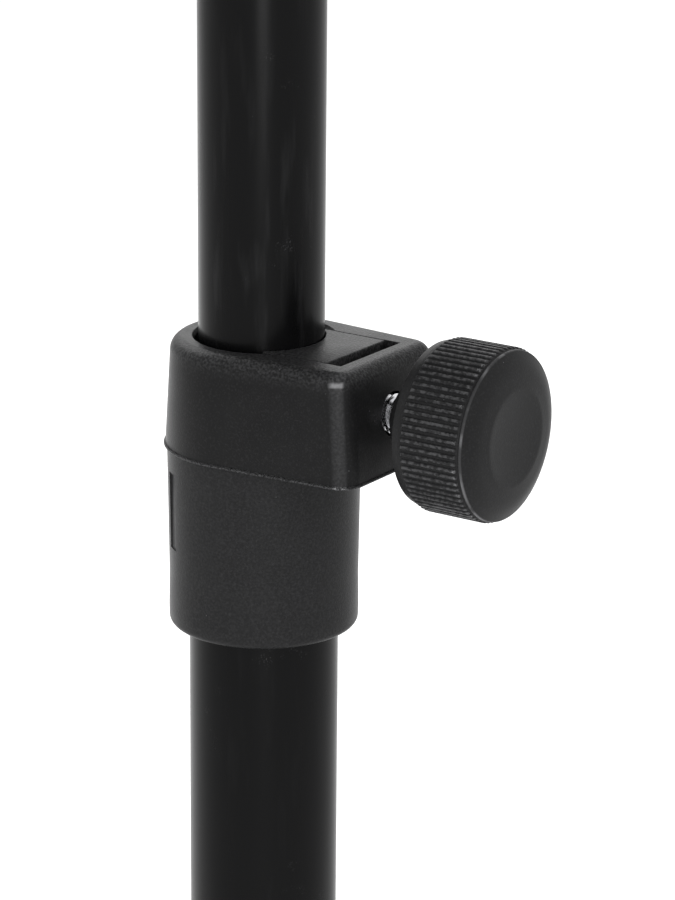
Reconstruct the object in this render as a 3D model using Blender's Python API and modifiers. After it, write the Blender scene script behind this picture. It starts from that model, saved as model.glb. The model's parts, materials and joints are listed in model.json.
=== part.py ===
"""A height-adjustable music stand: folding tripod, telescopic pole with a screw clamp, tilting desk.

Metres, +Z up.  The musician stands at -Y and faces +Y, so +X is to their right.  The origin is on
the floor, under the middle of the stand's overall box.  Everything hangs from empties: the pole's
axis, the height clamp, one for each leg's pivot, and the desk's tilt axis.
"""

import math

import bmesh
import bpy
from mathutils import Matrix, Vector

# ---- driving dimensions -------------------------------------------------------------------------
GAP = 0.0003                    # clearance kept between neighbouring pieces
CHAMFER = 0.0010                # edges of mouldings
PAST = 0.010                    # how far a cutter runs past what it cuts
AROUND = 40                     # facets round a tube
AROUND_SMALL = 24               # facets round a screw or a pin
AROUND_RIVET = 12

# Pole
LOWER_TUBE_R = 0.0150           # 30 mm tube
UPPER_TUBE_R = 0.0125           # 25 mm tube
TUBE_WALL = 0.0015
LOWER_TUBE_BASE = 0.062
CLAMP_HEIGHT = 0.640            # top end of the lower tube, and the clamp's parting plane
UPPER_TUBE_BASE = 0.340
UPPER_TUBE_TOP = 0.980
CLAMPED_SHIFT = -0.0007         # the clamp pushes the upper tube this far across the lower one
GLIDE_SPIGOT = 0.025            # the glide plug's length inside the upper tube
GLIDE_FLANGE = 0.006

# Height clamp: a moulded sleeve round the lower tube, and a head that holds nut, block and screw
SLEEVE_LENGTH = 0.0375
SLEEVE_R_BOTTOM = 0.0190
SLEEVE_R_TOP = 0.01965
HEAD_HEIGHT = 0.0220
HEAD_TAPER = math.radians(4.5)  # each side of the head closes in towards the screw
HEAD_END_X = 0.0324
HEAD_CORNER_R = 0.0040
HEAD_DRAFT = 0.94               # the top outline is this much smaller than the bottom one
HEAD_END_DRAFT = 0.87           # the end wall leans in further than the sides
HEAD_EDGE_R = 0.0027
GUIDE_R = 0.0138
POCKET_END_X = 0.0252
POCKET_HALF_WIDTH = 0.0104
POCKET_FLOOR = 0.0020
BLOCK_END_X = 0.0218
SCREW_HEIGHT = 0.0110           # screw axis above the parting plane
SCREW_R = 0.0040                # M8
SCREW_END_X = 0.0500
SLEEVE_EDGE = 0.0015
NUT_SIDE = 0.0110
NUT_THICKNESS = 0.0022
WALL_HOLE_R = 0.0044
WALL_HOLE_REACH = (0.020, 0.045)  # along the screw, through nut and end wall

# Clamp knob, measured along the screw from the pole's axis
KNOB_HUB_X = 0.0337
KNOB_BACK_X = 0.0398
KNOB_KNURL_X = 0.0420
KNOB_RIM_X = 0.0542
KNOB_FRONT_X = 0.0581
KNOB_R = 0.0170
KNOB_HUB_R = 0.0070
KNOB_BACK_RECESS = 0.0025
DISH_R = 0.0104
DISH_DEPTH = 0.0016
KNOB_RIBS = 72
KNOB_RIB_DEPTH = 0.0005

# Tripod
LEG_ANGLES = (90.0, 210.0, 330.0)
LEG_SLOPE = math.radians(14.5)
LEG_TUBE_R = 0.0100
LEG_WALL = 0.0012
PIVOT_REACH = 0.036             # leg pin from the pole's axis
PIVOT_HEIGHT = 0.085
FOOT_REACH = 0.300              # foot's middle from the pole's axis
PAD_R = 0.0150
PAD_HEIGHT = 0.0060
FOOT_WALL = 0.0030              # rubber round the leg's tube
FOOT_COVER = 0.0310             # how far back along the tube the rubber reaches
FOOT_TIP = 0.0115
HUB_R = 0.0225
HUB_BASE = 0.050
HUB_TOP = 0.125
CHEEK_INNER = 0.0065
CHEEK_OUTER = 0.0115
CHEEK_REACH = 0.046
ARM_BASE = 0.072
ARM_TOP = 0.106
KNUCKLE_R = 0.009
KNUCKLE_LENGTH = 0.025
KNUCKLE_SPIGOT_END = 0.045
KNUCKLE_COLLAR = 0.006
PIN_R = 0.0030                  # M6
PIN_BORE = 0.020                # half the length of a pin's cutter
ACROSS_FLATS = 0.0100
BOLT_HEAD = 0.0040
PIN_NUT = 0.0050
PIN_TAIL = 0.0018               # the bolt's end beyond its nut

# Desk, in its own frame: origin on the tilt axis, -Y out of its front, +Z up along the panel
DESK_LEAN = math.radians(22.0)
TILT_HEIGHT = UPPER_TUBE_TOP + 0.034
PLUG_R = 0.0145                 # tilt head's cap on the tube's top
PLUG_CAP = 0.0100
PLUG_SPIGOT = 0.0350
DESK_WIDTH = 0.490
DESK_BOTTOM = -0.115
DESK_TOP = 0.225
DESK_CORNER_R = 0.022
PANEL_BACK = -0.0321
SHEET = 0.0012
FLANGE_DEPTH = 0.012
SHELF_DEPTH = 0.055
LIP_HEIGHT = 0.020
SHELF_FLANGE = 0.018
PLATE_HALF_WIDTH = 0.070
PLATE_HALF_HEIGHT = 0.050
PLATE_THICKNESS = 0.0020
PLATE_RIVET_INSET = 0.010
RIVET_R = 0.0016
RIVET_HEAD_R = 0.0032
RIVET_DOME = 0.0012
RIVET_TAIL_R = 0.0027
RIVET_TAIL = 0.0010
SHELF_RIVETS = 5
SHELF_RIVET_PITCH = 0.105
EAR_INNER = 0.0073
EAR_OUTER = 0.0098
EAR_R = 0.0120
BRACKET_HALF_HEIGHT = 0.0300
BRACKET_STEEL = 0.0025
LUG_HALF_WIDTH = 0.0070
LUG_R = 0.0130
COACH_HEAD_R = 0.0065
COACH_HEAD = 0.0034
TILT_BOLT_END = 0.0290
WASHER_R = 0.0085
WASHER_THICKNESS = 0.0016
TILT_KNOB_R = 0.0150
TILT_KNOB_LENGTH = 0.0200
TILT_KNOB_RIBS = 48
TILT_KNOB_RIB_DEPTH = 0.0006

POLE_Y = -FOOT_REACH / 4        # puts the middle of the overall box over the origin

# ---- scene --------------------------------------------------------------------------------------
for leftover in list(bpy.data.objects):
    bpy.data.objects.remove(leftover)

stand = bpy.data.collections.new("music_stand")
helpers = bpy.data.collections.new("cutters")
bpy.context.scene.collection.children.link(stand)
bpy.context.scene.collection.children.link(helpers)


def material(name, colour, roughness, metallic=0.0):
    """A Principled material."""
    made = bpy.data.materials.new(name)
    made.use_nodes = True
    shader = made.node_tree.nodes["Principled BSDF"]
    shader.inputs["Base Color"].default_value = (*colour, 1.0)
    shader.inputs["Roughness"].default_value = roughness
    shader.inputs["Metallic"].default_value = metallic
    return made


TUBE_PAINT = material("black_tube_paint", (0.018, 0.018, 0.019), 0.38)
SHEET_PAINT = material("black_sheet_paint", (0.022, 0.022, 0.023), 0.50)
MOULDING = material("black_moulding", (0.026, 0.026, 0.027), 0.45)
KNOB_PLASTIC = material("knob_plastic", (0.030, 0.030, 0.031), 0.50)
RUBBER = material("black_rubber", (0.020, 0.020, 0.020), 0.85)
BRIGHT_STEEL = material("bright_zinc", (0.72, 0.72, 0.74), 0.25, 1.0)
DARK_STEEL = material("dark_zinc", (0.10, 0.10, 0.11), 0.40, 1.0)


def add(name, mesh, finish, parent, location=(0, 0, 0), rotation=(0, 0, 0), group=stand):
    """A named object at a place in its parent's frame."""
    made = bpy.data.objects.new(name, mesh)
    group.objects.link(made)
    if finish:
        mesh.materials.append(finish)
    made.parent = parent
    made.location = location
    made.rotation_euler = rotation
    return made


def anchor(name, location, rotation=(0, 0, 0), parent=None):
    """An empty that carries a group of pieces."""
    made = bpy.data.objects.new(name, None)
    stand.objects.link(made)
    made.parent = parent
    made.location = location
    made.rotation_euler = rotation
    return made


def turned(name, profile, finish, parent, around=AROUND, group=stand, **place):
    """A shape turned about its own Z, from (radius, height) points that run down the outside.

    A profile whose two ends are off the axis is closed into a ring."""
    mesh = bpy.data.meshes.new(name)
    work = bmesh.new()
    ring = [work.verts.new((radius, 0, height)) for radius, height in profile]
    for start, end in zip(ring, ring[1:]):
        work.edges.new((start, end))
    if profile[0][0] > 0 and profile[-1][0] > 0:
        work.edges.new((ring[-1], ring[0]))
    work.to_mesh(mesh)
    work.free()
    made = add(name, mesh, finish, parent, group=group, **place)
    spin = made.modifiers.new("turn", "SCREW")
    spin.steps = spin.render_steps = around
    spin.use_merge_vertices = True
    spin.merge_threshold = 0.00001
    return made


def tube_profile(outer, wall, low, high):
    """Four corners of a tube's wall."""
    return [(outer, high), (outer, low), (outer - wall, low), (outer - wall, high)]


def rod_profile(radius, low, high, chamfer=0.0):
    """A solid rod with chamfered ends."""
    return [(0, high), (radius - chamfer, high), (radius, high - chamfer),
            (radius, low + chamfer), (radius - chamfer, low), (0, low)]


def block(name, low, high, finish, parent, group=stand, **place):
    """A box between two corners."""
    mesh = bpy.data.meshes.new(name)
    work = bmesh.new()
    bmesh.ops.create_cube(work, size=1)
    low, high = Vector(low), Vector(high)
    bmesh.ops.scale(work, vec=high - low, verts=work.verts)
    bmesh.ops.translate(work, vec=(low + high) / 2, verts=work.verts)
    work.to_mesh(mesh)
    work.free()
    return add(name, mesh, finish, parent, group=group, **place)


def arc(centre, radius, start, end, steps):
    """Points on an arc, both ends included, angles in degrees."""
    angles = [math.radians(start + (end - start) * i / steps) for i in range(steps + 1)]
    return [(centre[0] + radius * math.cos(a), centre[1] + radius * math.sin(a)) for a in angles]


def outline_face(work, points, height=0.0):
    """A flat face from outline points, anticlockwise seen from above."""
    return work.faces.new([work.verts.new((x, y, height)) for x, y in points])


def plate(name, points, thickness, finish, parent, group=stand, **place):
    """An outline in the XY plane, thickened evenly to both sides."""
    mesh = bpy.data.meshes.new(name)
    work = bmesh.new()
    face = outline_face(work, points, -thickness / 2)
    pushed = bmesh.ops.extrude_face_region(work, geom=[face])["geom"]
    moved = [v for v in pushed if isinstance(v, bmesh.types.BMVert)]
    bmesh.ops.translate(work, vec=(0, 0, thickness), verts=moved)
    bmesh.ops.recalc_face_normals(work, faces=work.faces)
    work.to_mesh(mesh)
    work.free()
    return add(name, mesh, finish, parent, group=group, **place)


def helper(made):
    """Marks a cutter, which isn't part of the stand."""
    made.hide_render = True
    made.display_type = "WIRE"
    return made


def combine(target, operation, *others):
    """Cuts others from the target, or joins them to it."""
    for other in others:
        change = target.modifiers.new(operation.lower(), "BOOLEAN")
        change.operation = operation
        change.object = helper(other)


def smooth(made, angle=35):
    """Rounds the shading and keeps edges sharper than the angle."""
    made.data.shade_smooth()
    made.data.set_sharp_from_angle(angle=math.radians(angle))


# ---- pole ---------------------------------------------------------------------------------------
pole = anchor("pole_axis", (0, POLE_Y, 0))
upper_pole = anchor("upper_pole_axis", (CLAMPED_SHIFT, 0, 0), parent=pole)
clamp = anchor("clamp_frame", (0, 0, CLAMP_HEIGHT), parent=pole)
ALONG_X = (0, math.radians(90), 0)  # turns a shape's own Z to +X
ACROSS_X = (math.radians(90), 0, math.radians(90))  # stands an outline up in the YZ plane


def build_pole():
    """The two tubes, and the glide plug in the upper tube's lower end."""
    turned("lower_tube", tube_profile(LOWER_TUBE_R, TUBE_WALL, LOWER_TUBE_BASE, CLAMP_HEIGHT),
           TUBE_PAINT, pole)
    turned("upper_tube", tube_profile(UPPER_TUBE_R, TUBE_WALL, UPPER_TUBE_BASE, UPPER_TUBE_TOP),
           TUBE_PAINT, upper_pole)
    spigot_r = UPPER_TUBE_R - TUBE_WALL - GAP
    flange_r = UPPER_TUBE_R
    shoulder = UPPER_TUBE_BASE - GAP
    turned("glide_plug",
           [(0, shoulder + GLIDE_SPIGOT), (spigot_r - CHAMFER, shoulder + GLIDE_SPIGOT),
            (spigot_r, shoulder + GLIDE_SPIGOT - CHAMFER), (spigot_r, shoulder),
            (flange_r, shoulder), (flange_r, shoulder - GLIDE_FLANGE + CHAMFER),
            (flange_r - CHAMFER, shoulder - GLIDE_FLANGE), (0, shoulder - GLIDE_FLANGE)],
           MOULDING, upper_pole)


# ---- height clamp -------------------------------------------------------------------------------
def head_outline():
    """Half circle round the pole, sides closing in to the end wall, rounded corners."""
    taper = math.degrees(HEAD_TAPER)
    tangent = SLEEVE_R_TOP / math.cos(HEAD_TAPER)
    corner_x = HEAD_END_X - HEAD_CORNER_R
    corner_y = tangent - corner_x * math.tan(HEAD_TAPER) - HEAD_CORNER_R / math.cos(HEAD_TAPER)
    near = arc((corner_x, -corner_y), HEAD_CORNER_R, -90 + taper, 0, 5)
    far = arc((corner_x, corner_y), HEAD_CORNER_R, 0, 90 - taper, 5)
    round_back = arc((0, 0), SLEEVE_R_TOP, 90 - taper, 270 + taper, AROUND // 2)
    return near + far + round_back


def build_collar():
    """The moulded collar: drafted head on a tapered sleeve, bored and pocketed."""
    mesh = bpy.data.meshes.new("clamp_collar")
    work = bmesh.new()
    face = outline_face(work, head_outline())
    pushed = bmesh.ops.extrude_face_region(work, geom=[face])["geom"]
    top = [v for v in pushed if isinstance(v, bmesh.types.BMVert)]
    bmesh.ops.translate(work, vec=(0, 0, HEAD_HEIGHT), verts=top)
    bmesh.ops.scale(work, vec=(HEAD_DRAFT, HEAD_DRAFT, 1), verts=top)
    bmesh.ops.scale(work, vec=(HEAD_END_DRAFT / HEAD_DRAFT, 1, 1),
                    verts=[v for v in top if v.co.x > 0])
    rim = [e for e in work.edges if all(v in top for v in e.verts)]
    bmesh.ops.recalc_face_normals(work, faces=work.faces)
    bmesh.ops.bevel(work, geom=rim, offset=HEAD_EDGE_R, segments=3, profile=0.5, affect="EDGES",
                    material=-1)
    work.to_mesh(mesh)
    work.free()
    collar = add("clamp_collar", mesh, MOULDING, clamp)
    sleeve = turned("sleeve_join",
                    [(0, CHAMFER), (SLEEVE_R_TOP - GAP, CHAMFER), (SLEEVE_R_TOP - GAP, 0),
                     (SLEEVE_R_BOTTOM, -SLEEVE_LENGTH + SLEEVE_EDGE),
                     (SLEEVE_R_BOTTOM - GAP, -SLEEVE_LENGTH + GAP),
                     (SLEEVE_R_BOTTOM - SLEEVE_EDGE, -SLEEVE_LENGTH), (0, -SLEEVE_LENGTH)],
                    None, clamp, group=helpers)
    combine(collar, "UNION", sleeve)
    socket = turned("socket_cut", rod_profile(LOWER_TUBE_R + GAP, -SLEEVE_LENGTH - PAST, GAP),
                    None, clamp, group=helpers)
    guide = turned("guide_cut", rod_profile(GUIDE_R, -PAST, HEAD_HEIGHT + PAST), None, clamp,
                   group=helpers)
    pocket = block("pocket_cut", (0, -POCKET_HALF_WIDTH, POCKET_FLOOR),
                   (POCKET_END_X, POCKET_HALF_WIDTH, HEAD_HEIGHT + PAST), None, clamp,
                   group=helpers)
    seat = NUT_SIDE / 2 + GAP
    nut_seat = block("nut_seat_cut", (POCKET_END_X - CHAMFER, -seat, SCREW_HEIGHT - seat),
                     (POCKET_END_X + NUT_THICKNESS + 2 * GAP, seat, SCREW_HEIGHT + seat), None,
                     clamp, group=helpers)
    hole = turned("screw_hole_cut", rod_profile(WALL_HOLE_R, *WALL_HOLE_REACH), None, clamp,
                  around=AROUND_SMALL, group=helpers, location=(0, 0, SCREW_HEIGHT),
                  rotation=ALONG_X)
    combine(collar, "DIFFERENCE", socket, guide, pocket, nut_seat, hole)


def build_block():
    """The pressure block that the screw drives against the upper tube."""
    made = block("pressure_block", (0, -POCKET_HALF_WIDTH + GAP, POCKET_FLOOR + GAP),
                 (BLOCK_END_X, POCKET_HALF_WIDTH - GAP, HEAD_HEIGHT), MOULDING, clamp)
    hollow = turned("block_hollow_cut", rod_profile(UPPER_TUBE_R + GAP, -PAST, HEAD_HEIGHT + PAST),
                    None, clamp, around=2 * AROUND, group=helpers, location=(CLAMPED_SHIFT, 0, 0))
    combine(made, "DIFFERENCE", hollow)


def build_nut():
    """Square nut, dropped down the slot and held in the end wall."""
    half = NUT_SIDE / 2
    made = block("clamp_nut", (POCKET_END_X + GAP, -half, SCREW_HEIGHT - half),
                 (POCKET_END_X + GAP + NUT_THICKNESS, half, SCREW_HEIGHT + half), BRIGHT_STEEL,
                 clamp)
    bore = turned("nut_bore_cut", rod_profile(SCREW_R + GAP, *WALL_HOLE_REACH), None, clamp,
                  around=AROUND_SMALL, group=helpers, location=(0, 0, SCREW_HEIGHT),
                  rotation=ALONG_X)
    combine(made, "DIFFERENCE", bore)


def build_screw():
    """M8 stud, from the pressure block into the knob."""
    turned("clamp_screw", rod_profile(SCREW_R, BLOCK_END_X + GAP, SCREW_END_X, CHAMFER / 2),
           BRIGHT_STEEL, clamp, around=AROUND_SMALL, location=(0, 0, SCREW_HEIGHT),
           rotation=ALONG_X)


def ribbed_outline(radius, ribs, depth):
    """A round outline with pointed ribs."""
    points = []
    for i in range(2 * ribs):
        reach = radius if i % 2 == 0 else radius - depth
        turn = math.pi * i / ribs
        points.append((reach * math.cos(turn), reach * math.sin(turn)))
    return points


def build_knob():
    """Knurled knob with a domed, dished front and a hub round the stud."""
    root_r = KNOB_R - 2 * KNOB_RIB_DEPTH
    rim_r = KNOB_R - KNOB_RIB_DEPTH / 2
    dish = [(DISH_R * reach, KNOB_FRONT_X - DISH_DEPTH * (1 - reach ** 2))
            for reach in (0, 0.5, 0.9, 1)]
    crown = [(0.81 * KNOB_R, KNOB_FRONT_X - 0.0009), (0.93 * KNOB_R, KNOB_FRONT_X - 0.0022),
             (rim_r, KNOB_RIM_X + 0.0008)]
    back = [(0.94 * KNOB_R, KNOB_BACK_X), (0.88 * KNOB_R, KNOB_BACK_X),
            (0.82 * KNOB_R, KNOB_BACK_X + KNOB_BACK_RECESS),
            (KNOB_HUB_R + 0.0006, KNOB_BACK_X + KNOB_BACK_RECESS), (KNOB_HUB_R, KNOB_HUB_X)]
    bore = [(SCREW_R + GAP, KNOB_HUB_X), (SCREW_R + GAP, SCREW_END_X + GAP), (0, SCREW_END_X + GAP)]
    profile = dish + crown + [
        (rim_r, KNOB_RIM_X), (root_r, KNOB_RIM_X - GAP), (root_r, KNOB_KNURL_X + GAP),
        (rim_r, KNOB_KNURL_X)] + back + bore
    knob = turned("clamp_knob", profile, KNOB_PLASTIC, clamp, around=AROUND + 8,
                  location=(0, 0, SCREW_HEIGHT), rotation=ALONG_X)
    ribs = plate("knurl_join", ribbed_outline(KNOB_R, KNOB_RIBS, KNOB_RIB_DEPTH),
                 KNOB_RIM_X - KNOB_KNURL_X, None, clamp, group=helpers,
                 location=((KNOB_RIM_X + KNOB_KNURL_X) / 2, 0, SCREW_HEIGHT), rotation=ALONG_X)
    core = turned("knurl_core_cut", rod_profile(0.9 * KNOB_R, -PAST, PAST), None, ribs,
                  around=AROUND, group=helpers)
    combine(ribs, "DIFFERENCE", core)
    combine(knob, "UNION", ribs)


# ---- tripod -------------------------------------------------------------------------------------
def build_hub():
    """The moulded hub: a socket for the pole and three clevises, open below and stopped above.

    The floor pushes each leg up against its clevis's sloping roof, and a lifted stand's legs
    fold down under the hub."""
    floor = LOWER_TUBE_BASE - GAP
    hub = turned("base_hub",
                 [(0, floor), (LOWER_TUBE_R + GAP, floor), (LOWER_TUBE_R + GAP, HUB_TOP),
                  (HUB_R - 3 * CHAMFER, HUB_TOP), (HUB_R - 1.5 * CHAMFER, HUB_TOP - 2 * CHAMFER),
                  (HUB_R, HUB_TOP - 10 * CHAMFER), (HUB_R, HUB_BASE + 4 * CHAMFER),
                  (HUB_R - 3 * CHAMFER, HUB_BASE), (0, HUB_BASE)],
                 MOULDING, pole)
    arms, cuts = [], []
    for angle in LEG_ANGLES:
        turn = Matrix.Rotation(math.radians(angle), 4, "Z")
        pivot = turn @ Vector((PIVOT_REACH, 0, PIVOT_HEIGHT))
        across = (turn @ Matrix.Rotation(math.radians(90), 4, "X")).to_euler()
        arms.append(block(f"arm_join_{angle:.0f}", (LOWER_TUBE_R + CHAMFER, -CHEEK_OUTER, ARM_BASE),
                          (CHEEK_REACH, CHEEK_OUTER, ARM_TOP), None, pole, group=helpers,
                          rotation=turn.to_euler()))
        cuts.append(block(f"fold_cut_{angle:.0f}", (HUB_R + CHAMFER / 2, -CHEEK_INNER, HUB_BASE - PAST),
                          (CHEEK_REACH + PAST, CHEEK_INNER, PIVOT_HEIGHT), None, pole,
                          group=helpers, rotation=turn.to_euler()))
        cuts.append(block(f"stop_cut_{angle:.0f}", (-KNUCKLE_R - GAP, -CHEEK_INNER, -PAST),
                          (CHEEK_REACH - PIVOT_REACH + 2 * PAST, CHEEK_INNER, KNUCKLE_R + GAP),
                          None, pole, group=helpers, location=pivot,
                          rotation=(0, LEG_SLOPE, math.radians(angle))))
        cuts.append(turned(f"pin_cut_{angle:.0f}", rod_profile(PIN_R + GAP, -PIN_BORE, PIN_BORE), None,
                           pole, around=AROUND_SMALL, group=helpers, location=pivot,
                           rotation=across))
    combine(hub, "UNION", *arms)
    combine(hub, "DIFFERENCE", *cuts)


def hexagon(across_flats):
    """Corners of a hexagon."""
    return arc((0, 0), across_flats / math.sqrt(3), 0, 300, 5)


def build_leg_fastener(number, pivot):
    """The bolt that a leg turns on, and its nut, across the clevis."""
    across = (math.radians(90), 0, 0)  # a shape's own Z points to the pivot's -Y
    outside = CHEEK_OUTER + GAP
    bolt = turned(f"leg_bolt_{number}",
                  rod_profile(PIN_R, -outside - PIN_NUT - PIN_TAIL, outside + BOLT_HEAD / 2),
                  DARK_STEEL, pivot, around=AROUND_SMALL, rotation=across)
    head = plate(f"bolt_head_join_{number}", hexagon(ACROSS_FLATS), BOLT_HEAD, None, pivot,
                 group=helpers, location=(0, -outside - BOLT_HEAD / 2, 0), rotation=across)
    combine(bolt, "UNION", head)
    nut = plate(f"leg_nut_{number}", hexagon(ACROSS_FLATS), PIN_NUT, DARK_STEEL, pivot,
                location=(0, outside + PIN_NUT / 2, 0), rotation=across)
    bore = turned(f"leg_nut_cut_{number}", rod_profile(PIN_R + GAP, -PAST, PAST), None, nut,
                  around=AROUND_SMALL, group=helpers)
    combine(nut, "DIFFERENCE", bore)


def build_leg(number, angle):
    """One leg on its pivot: moulded knuckle, tube and rubber foot."""
    turn = Matrix.Rotation(math.radians(angle), 4, "Z")
    place = turn @ Vector((PIVOT_REACH, 0, PIVOT_HEIGHT))
    level = anchor(f"leg_pivot_{number}", place, (0, 0, math.radians(angle)), pole)
    leg = anchor(f"leg_axis_{number}", (0, 0, 0), (0, LEG_SLOPE, 0), level)
    build_leg_fastener(number, level)

    length = (FOOT_REACH - PIVOT_REACH) / math.cos(LEG_SLOPE)
    foot_height = PIVOT_HEIGHT - length * math.sin(LEG_SLOPE)
    shoulder = KNUCKLE_LENGTH
    tongue = arc((0, 0), KNUCKLE_R, 90, 270, 12) + [(shoulder, -KNUCKLE_R), (shoulder, KNUCKLE_R)]
    knuckle = plate(f"leg_knuckle_{number}", tongue, 2 * (CHEEK_INNER - GAP), MOULDING, leg,
                    rotation=(math.radians(90), 0, 0))
    spigot_r = LEG_TUBE_R - LEG_WALL - GAP
    spigot = turned(f"spigot_join_{number}",
                    [(0, KNUCKLE_SPIGOT_END), (spigot_r, KNUCKLE_SPIGOT_END),
                     (spigot_r, shoulder), (LEG_TUBE_R, shoulder),
                     (LEG_TUBE_R, shoulder - KNUCKLE_COLLAR), (0, shoulder - KNUCKLE_COLLAR)],
                    None, leg, around=AROUND_SMALL, group=helpers, rotation=ALONG_X)
    pin_hole = turned(f"knuckle_cut_{number}", rod_profile(PIN_R + GAP, -PIN_BORE, PIN_BORE), None, leg,
                      around=AROUND_SMALL, group=helpers, rotation=(math.radians(90), 0, 0))
    combine(knuckle, "UNION", spigot)
    combine(knuckle, "DIFFERENCE", pin_hole)

    tube_end = length + FOOT_TIP / 2
    turned(f"leg_tube_{number}", tube_profile(LEG_TUBE_R, LEG_WALL, shoulder + GAP, tube_end),
           TUBE_PAINT, leg, around=AROUND_SMALL, rotation=ALONG_X)

    sleeve_r = LEG_TUBE_R + FOOT_WALL
    foot = turned(f"foot_{number}",
                  [(0, length + FOOT_TIP), (sleeve_r - FOOT_WALL, length + FOOT_TIP),
                   (sleeve_r, length + FOOT_TIP - FOOT_WALL),
                   (sleeve_r, length - FOOT_COVER + CHAMFER),
                   (sleeve_r - CHAMFER, length - FOOT_COVER), (0, length - FOOT_COVER)],
                  RUBBER, leg, around=AROUND_SMALL, rotation=ALONG_X)
    pad = turned(f"pad_join_{number}",
                 [(0, foot_height), (PAD_R - PAD_HEIGHT / 2, foot_height), (PAD_R, PAD_HEIGHT),
                  (PAD_R, CHAMFER), (PAD_R - CHAMFER, 0), (0, 0)],
                 None, level, around=AROUND_SMALL, group=helpers,
                 location=(FOOT_REACH - PIVOT_REACH, 0, -PIVOT_HEIGHT))
    hollow = turned(f"foot_cut_{number}",
                    rod_profile(LEG_TUBE_R + GAP, length - FOOT_COVER - PAST, tube_end + GAP), None,
                    leg, around=AROUND_SMALL, group=helpers, rotation=ALONG_X)
    combine(foot, "UNION", pad)
    combine(foot, "DIFFERENCE", hollow)


# ---- tilt head and desk -------------------------------------------------------------------------
def build_tilt_head():
    """Moulded plug in the tube's top, with the lug that the desk tilts on."""
    spigot_r = UPPER_TUBE_R - TUBE_WALL - GAP
    seat = UPPER_TUBE_TOP + GAP
    head = turned("tilt_head",
                  [(0, seat + PLUG_CAP), (PLUG_R - 2 * CHAMFER, seat + PLUG_CAP),
                   (PLUG_R, seat + PLUG_CAP - 2 * CHAMFER), (PLUG_R, seat + CHAMFER),
                   (PLUG_R - CHAMFER, seat), (spigot_r, seat),
                   (spigot_r, seat - PLUG_SPIGOT + CHAMFER),
                   (spigot_r - CHAMFER, seat - PLUG_SPIGOT), (0, seat - PLUG_SPIGOT)],
                  MOULDING, upper_pole)
    lug_base = seat + PLUG_CAP - 2 * CHAMFER - TILT_HEIGHT
    foot_half = LUG_R - 2 * CHAMFER
    outline = arc((0, 0), LUG_R, 0, 180, 14) + [(-foot_half, lug_base), (foot_half, lug_base)]
    lug = plate("lug_join", outline, 2 * LUG_HALF_WIDTH, None, upper_pole, group=helpers,
                location=(0, 0, TILT_HEIGHT), rotation=ACROSS_X)
    bore = turned("lug_cut", rod_profile(PIN_R + GAP, -PIN_BORE, PIN_BORE), None, upper_pole,
                  around=AROUND_SMALL, group=helpers, location=(0, 0, TILT_HEIGHT),
                  rotation=ALONG_X)
    combine(head, "UNION", lug)
    combine(head, "DIFFERENCE", bore)


def build_bracket(desk):
    """Folded steel bracket: two ears on a web, welded to a backing plate."""
    web_front = PANEL_BACK + PLATE_THICKNESS + 2 * GAP
    bracket = block("desk_bracket", (-EAR_OUTER, web_front, -BRACKET_HALF_HEIGHT),
                    (EAR_OUTER, web_front + BRACKET_STEEL, BRACKET_HALF_HEIGHT), TUBE_PAINT, desk)
    outline = (arc((0, 0), EAR_R, -80, 80, 8)
               + [(web_front, BRACKET_HALF_HEIGHT), (web_front, -BRACKET_HALF_HEIGHT)])
    ears = []
    for side in (-1, 1):
        middle = side * (EAR_INNER + EAR_OUTER) / 2
        ears.append(plate(f"ear_join_{side}", outline, EAR_OUTER - EAR_INNER, None, desk,
                          group=helpers, location=(middle, 0, 0), rotation=ACROSS_X))
    bore = turned("ear_cut", rod_profile(PIN_R + GAP, -PIN_BORE, PIN_BORE), None, desk,
                  around=AROUND_SMALL, group=helpers, rotation=ALONG_X)
    combine(bracket, "UNION", *ears)
    combine(bracket, "DIFFERENCE", bore)
    block("backing_plate", (-PLATE_HALF_WIDTH, PANEL_BACK + GAP, -PLATE_HALF_HEIGHT),
          (PLATE_HALF_WIDTH, PANEL_BACK + GAP + PLATE_THICKNESS, PLATE_HALF_HEIGHT),
          TUBE_PAINT, desk)


def panel_outline():
    """The panel's outline in (across, up), with rounded top corners, from the lower left."""
    half = DESK_WIDTH / 2
    inner = half - DESK_CORNER_R
    top = DESK_TOP - DESK_CORNER_R
    return ([(half, DESK_BOTTOM)] + arc((inner, top), DESK_CORNER_R, 0, 90, 5)
            + arc((-inner, top), DESK_CORNER_R, 90, 180, 5) + [(-half, DESK_BOTTOM)])


def build_panel(desk):
    """Sheet steel panel with its top and sides folded back."""
    mesh = bpy.data.meshes.new("desk_panel")
    work = bmesh.new()
    outline = panel_outline()
    face = work.faces.new([work.verts.new((x, PANEL_BACK - SHEET, z)) for x, z in outline])
    folded = [e for e in work.edges if any(v.co.z > DESK_BOTTOM + CHAMFER for v in e.verts)]
    pushed = bmesh.ops.extrude_edge_only(work, edges=folded)["geom"]
    moved = [v for v in pushed if isinstance(v, bmesh.types.BMVert)]
    bmesh.ops.translate(work, vec=(0, FLANGE_DEPTH, 0), verts=moved)
    bmesh.ops.recalc_face_normals(work, faces=work.faces)
    if face.normal.y > 0:
        bmesh.ops.reverse_faces(work, faces=work.faces)
    work.to_mesh(mesh)
    work.free()
    panel = add("desk_panel", mesh, SHEET_PAINT, desk)
    wall = panel.modifiers.new("sheet", "SOLIDIFY")
    wall.thickness = SHEET
    wall.offset = -1
    wall.use_even_offset = True


def shelf_section():
    """The shelf's section in (out of the panel, up), from the flange's top to the lip's top."""
    back = -(PANEL_BACK - SHEET - GAP)
    front = back + SHELF_DEPTH
    base = DESK_BOTTOM
    return [(back, base + SHELF_FLANGE), (back, base), (front, base), (front, base + LIP_HEIGHT)]


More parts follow.
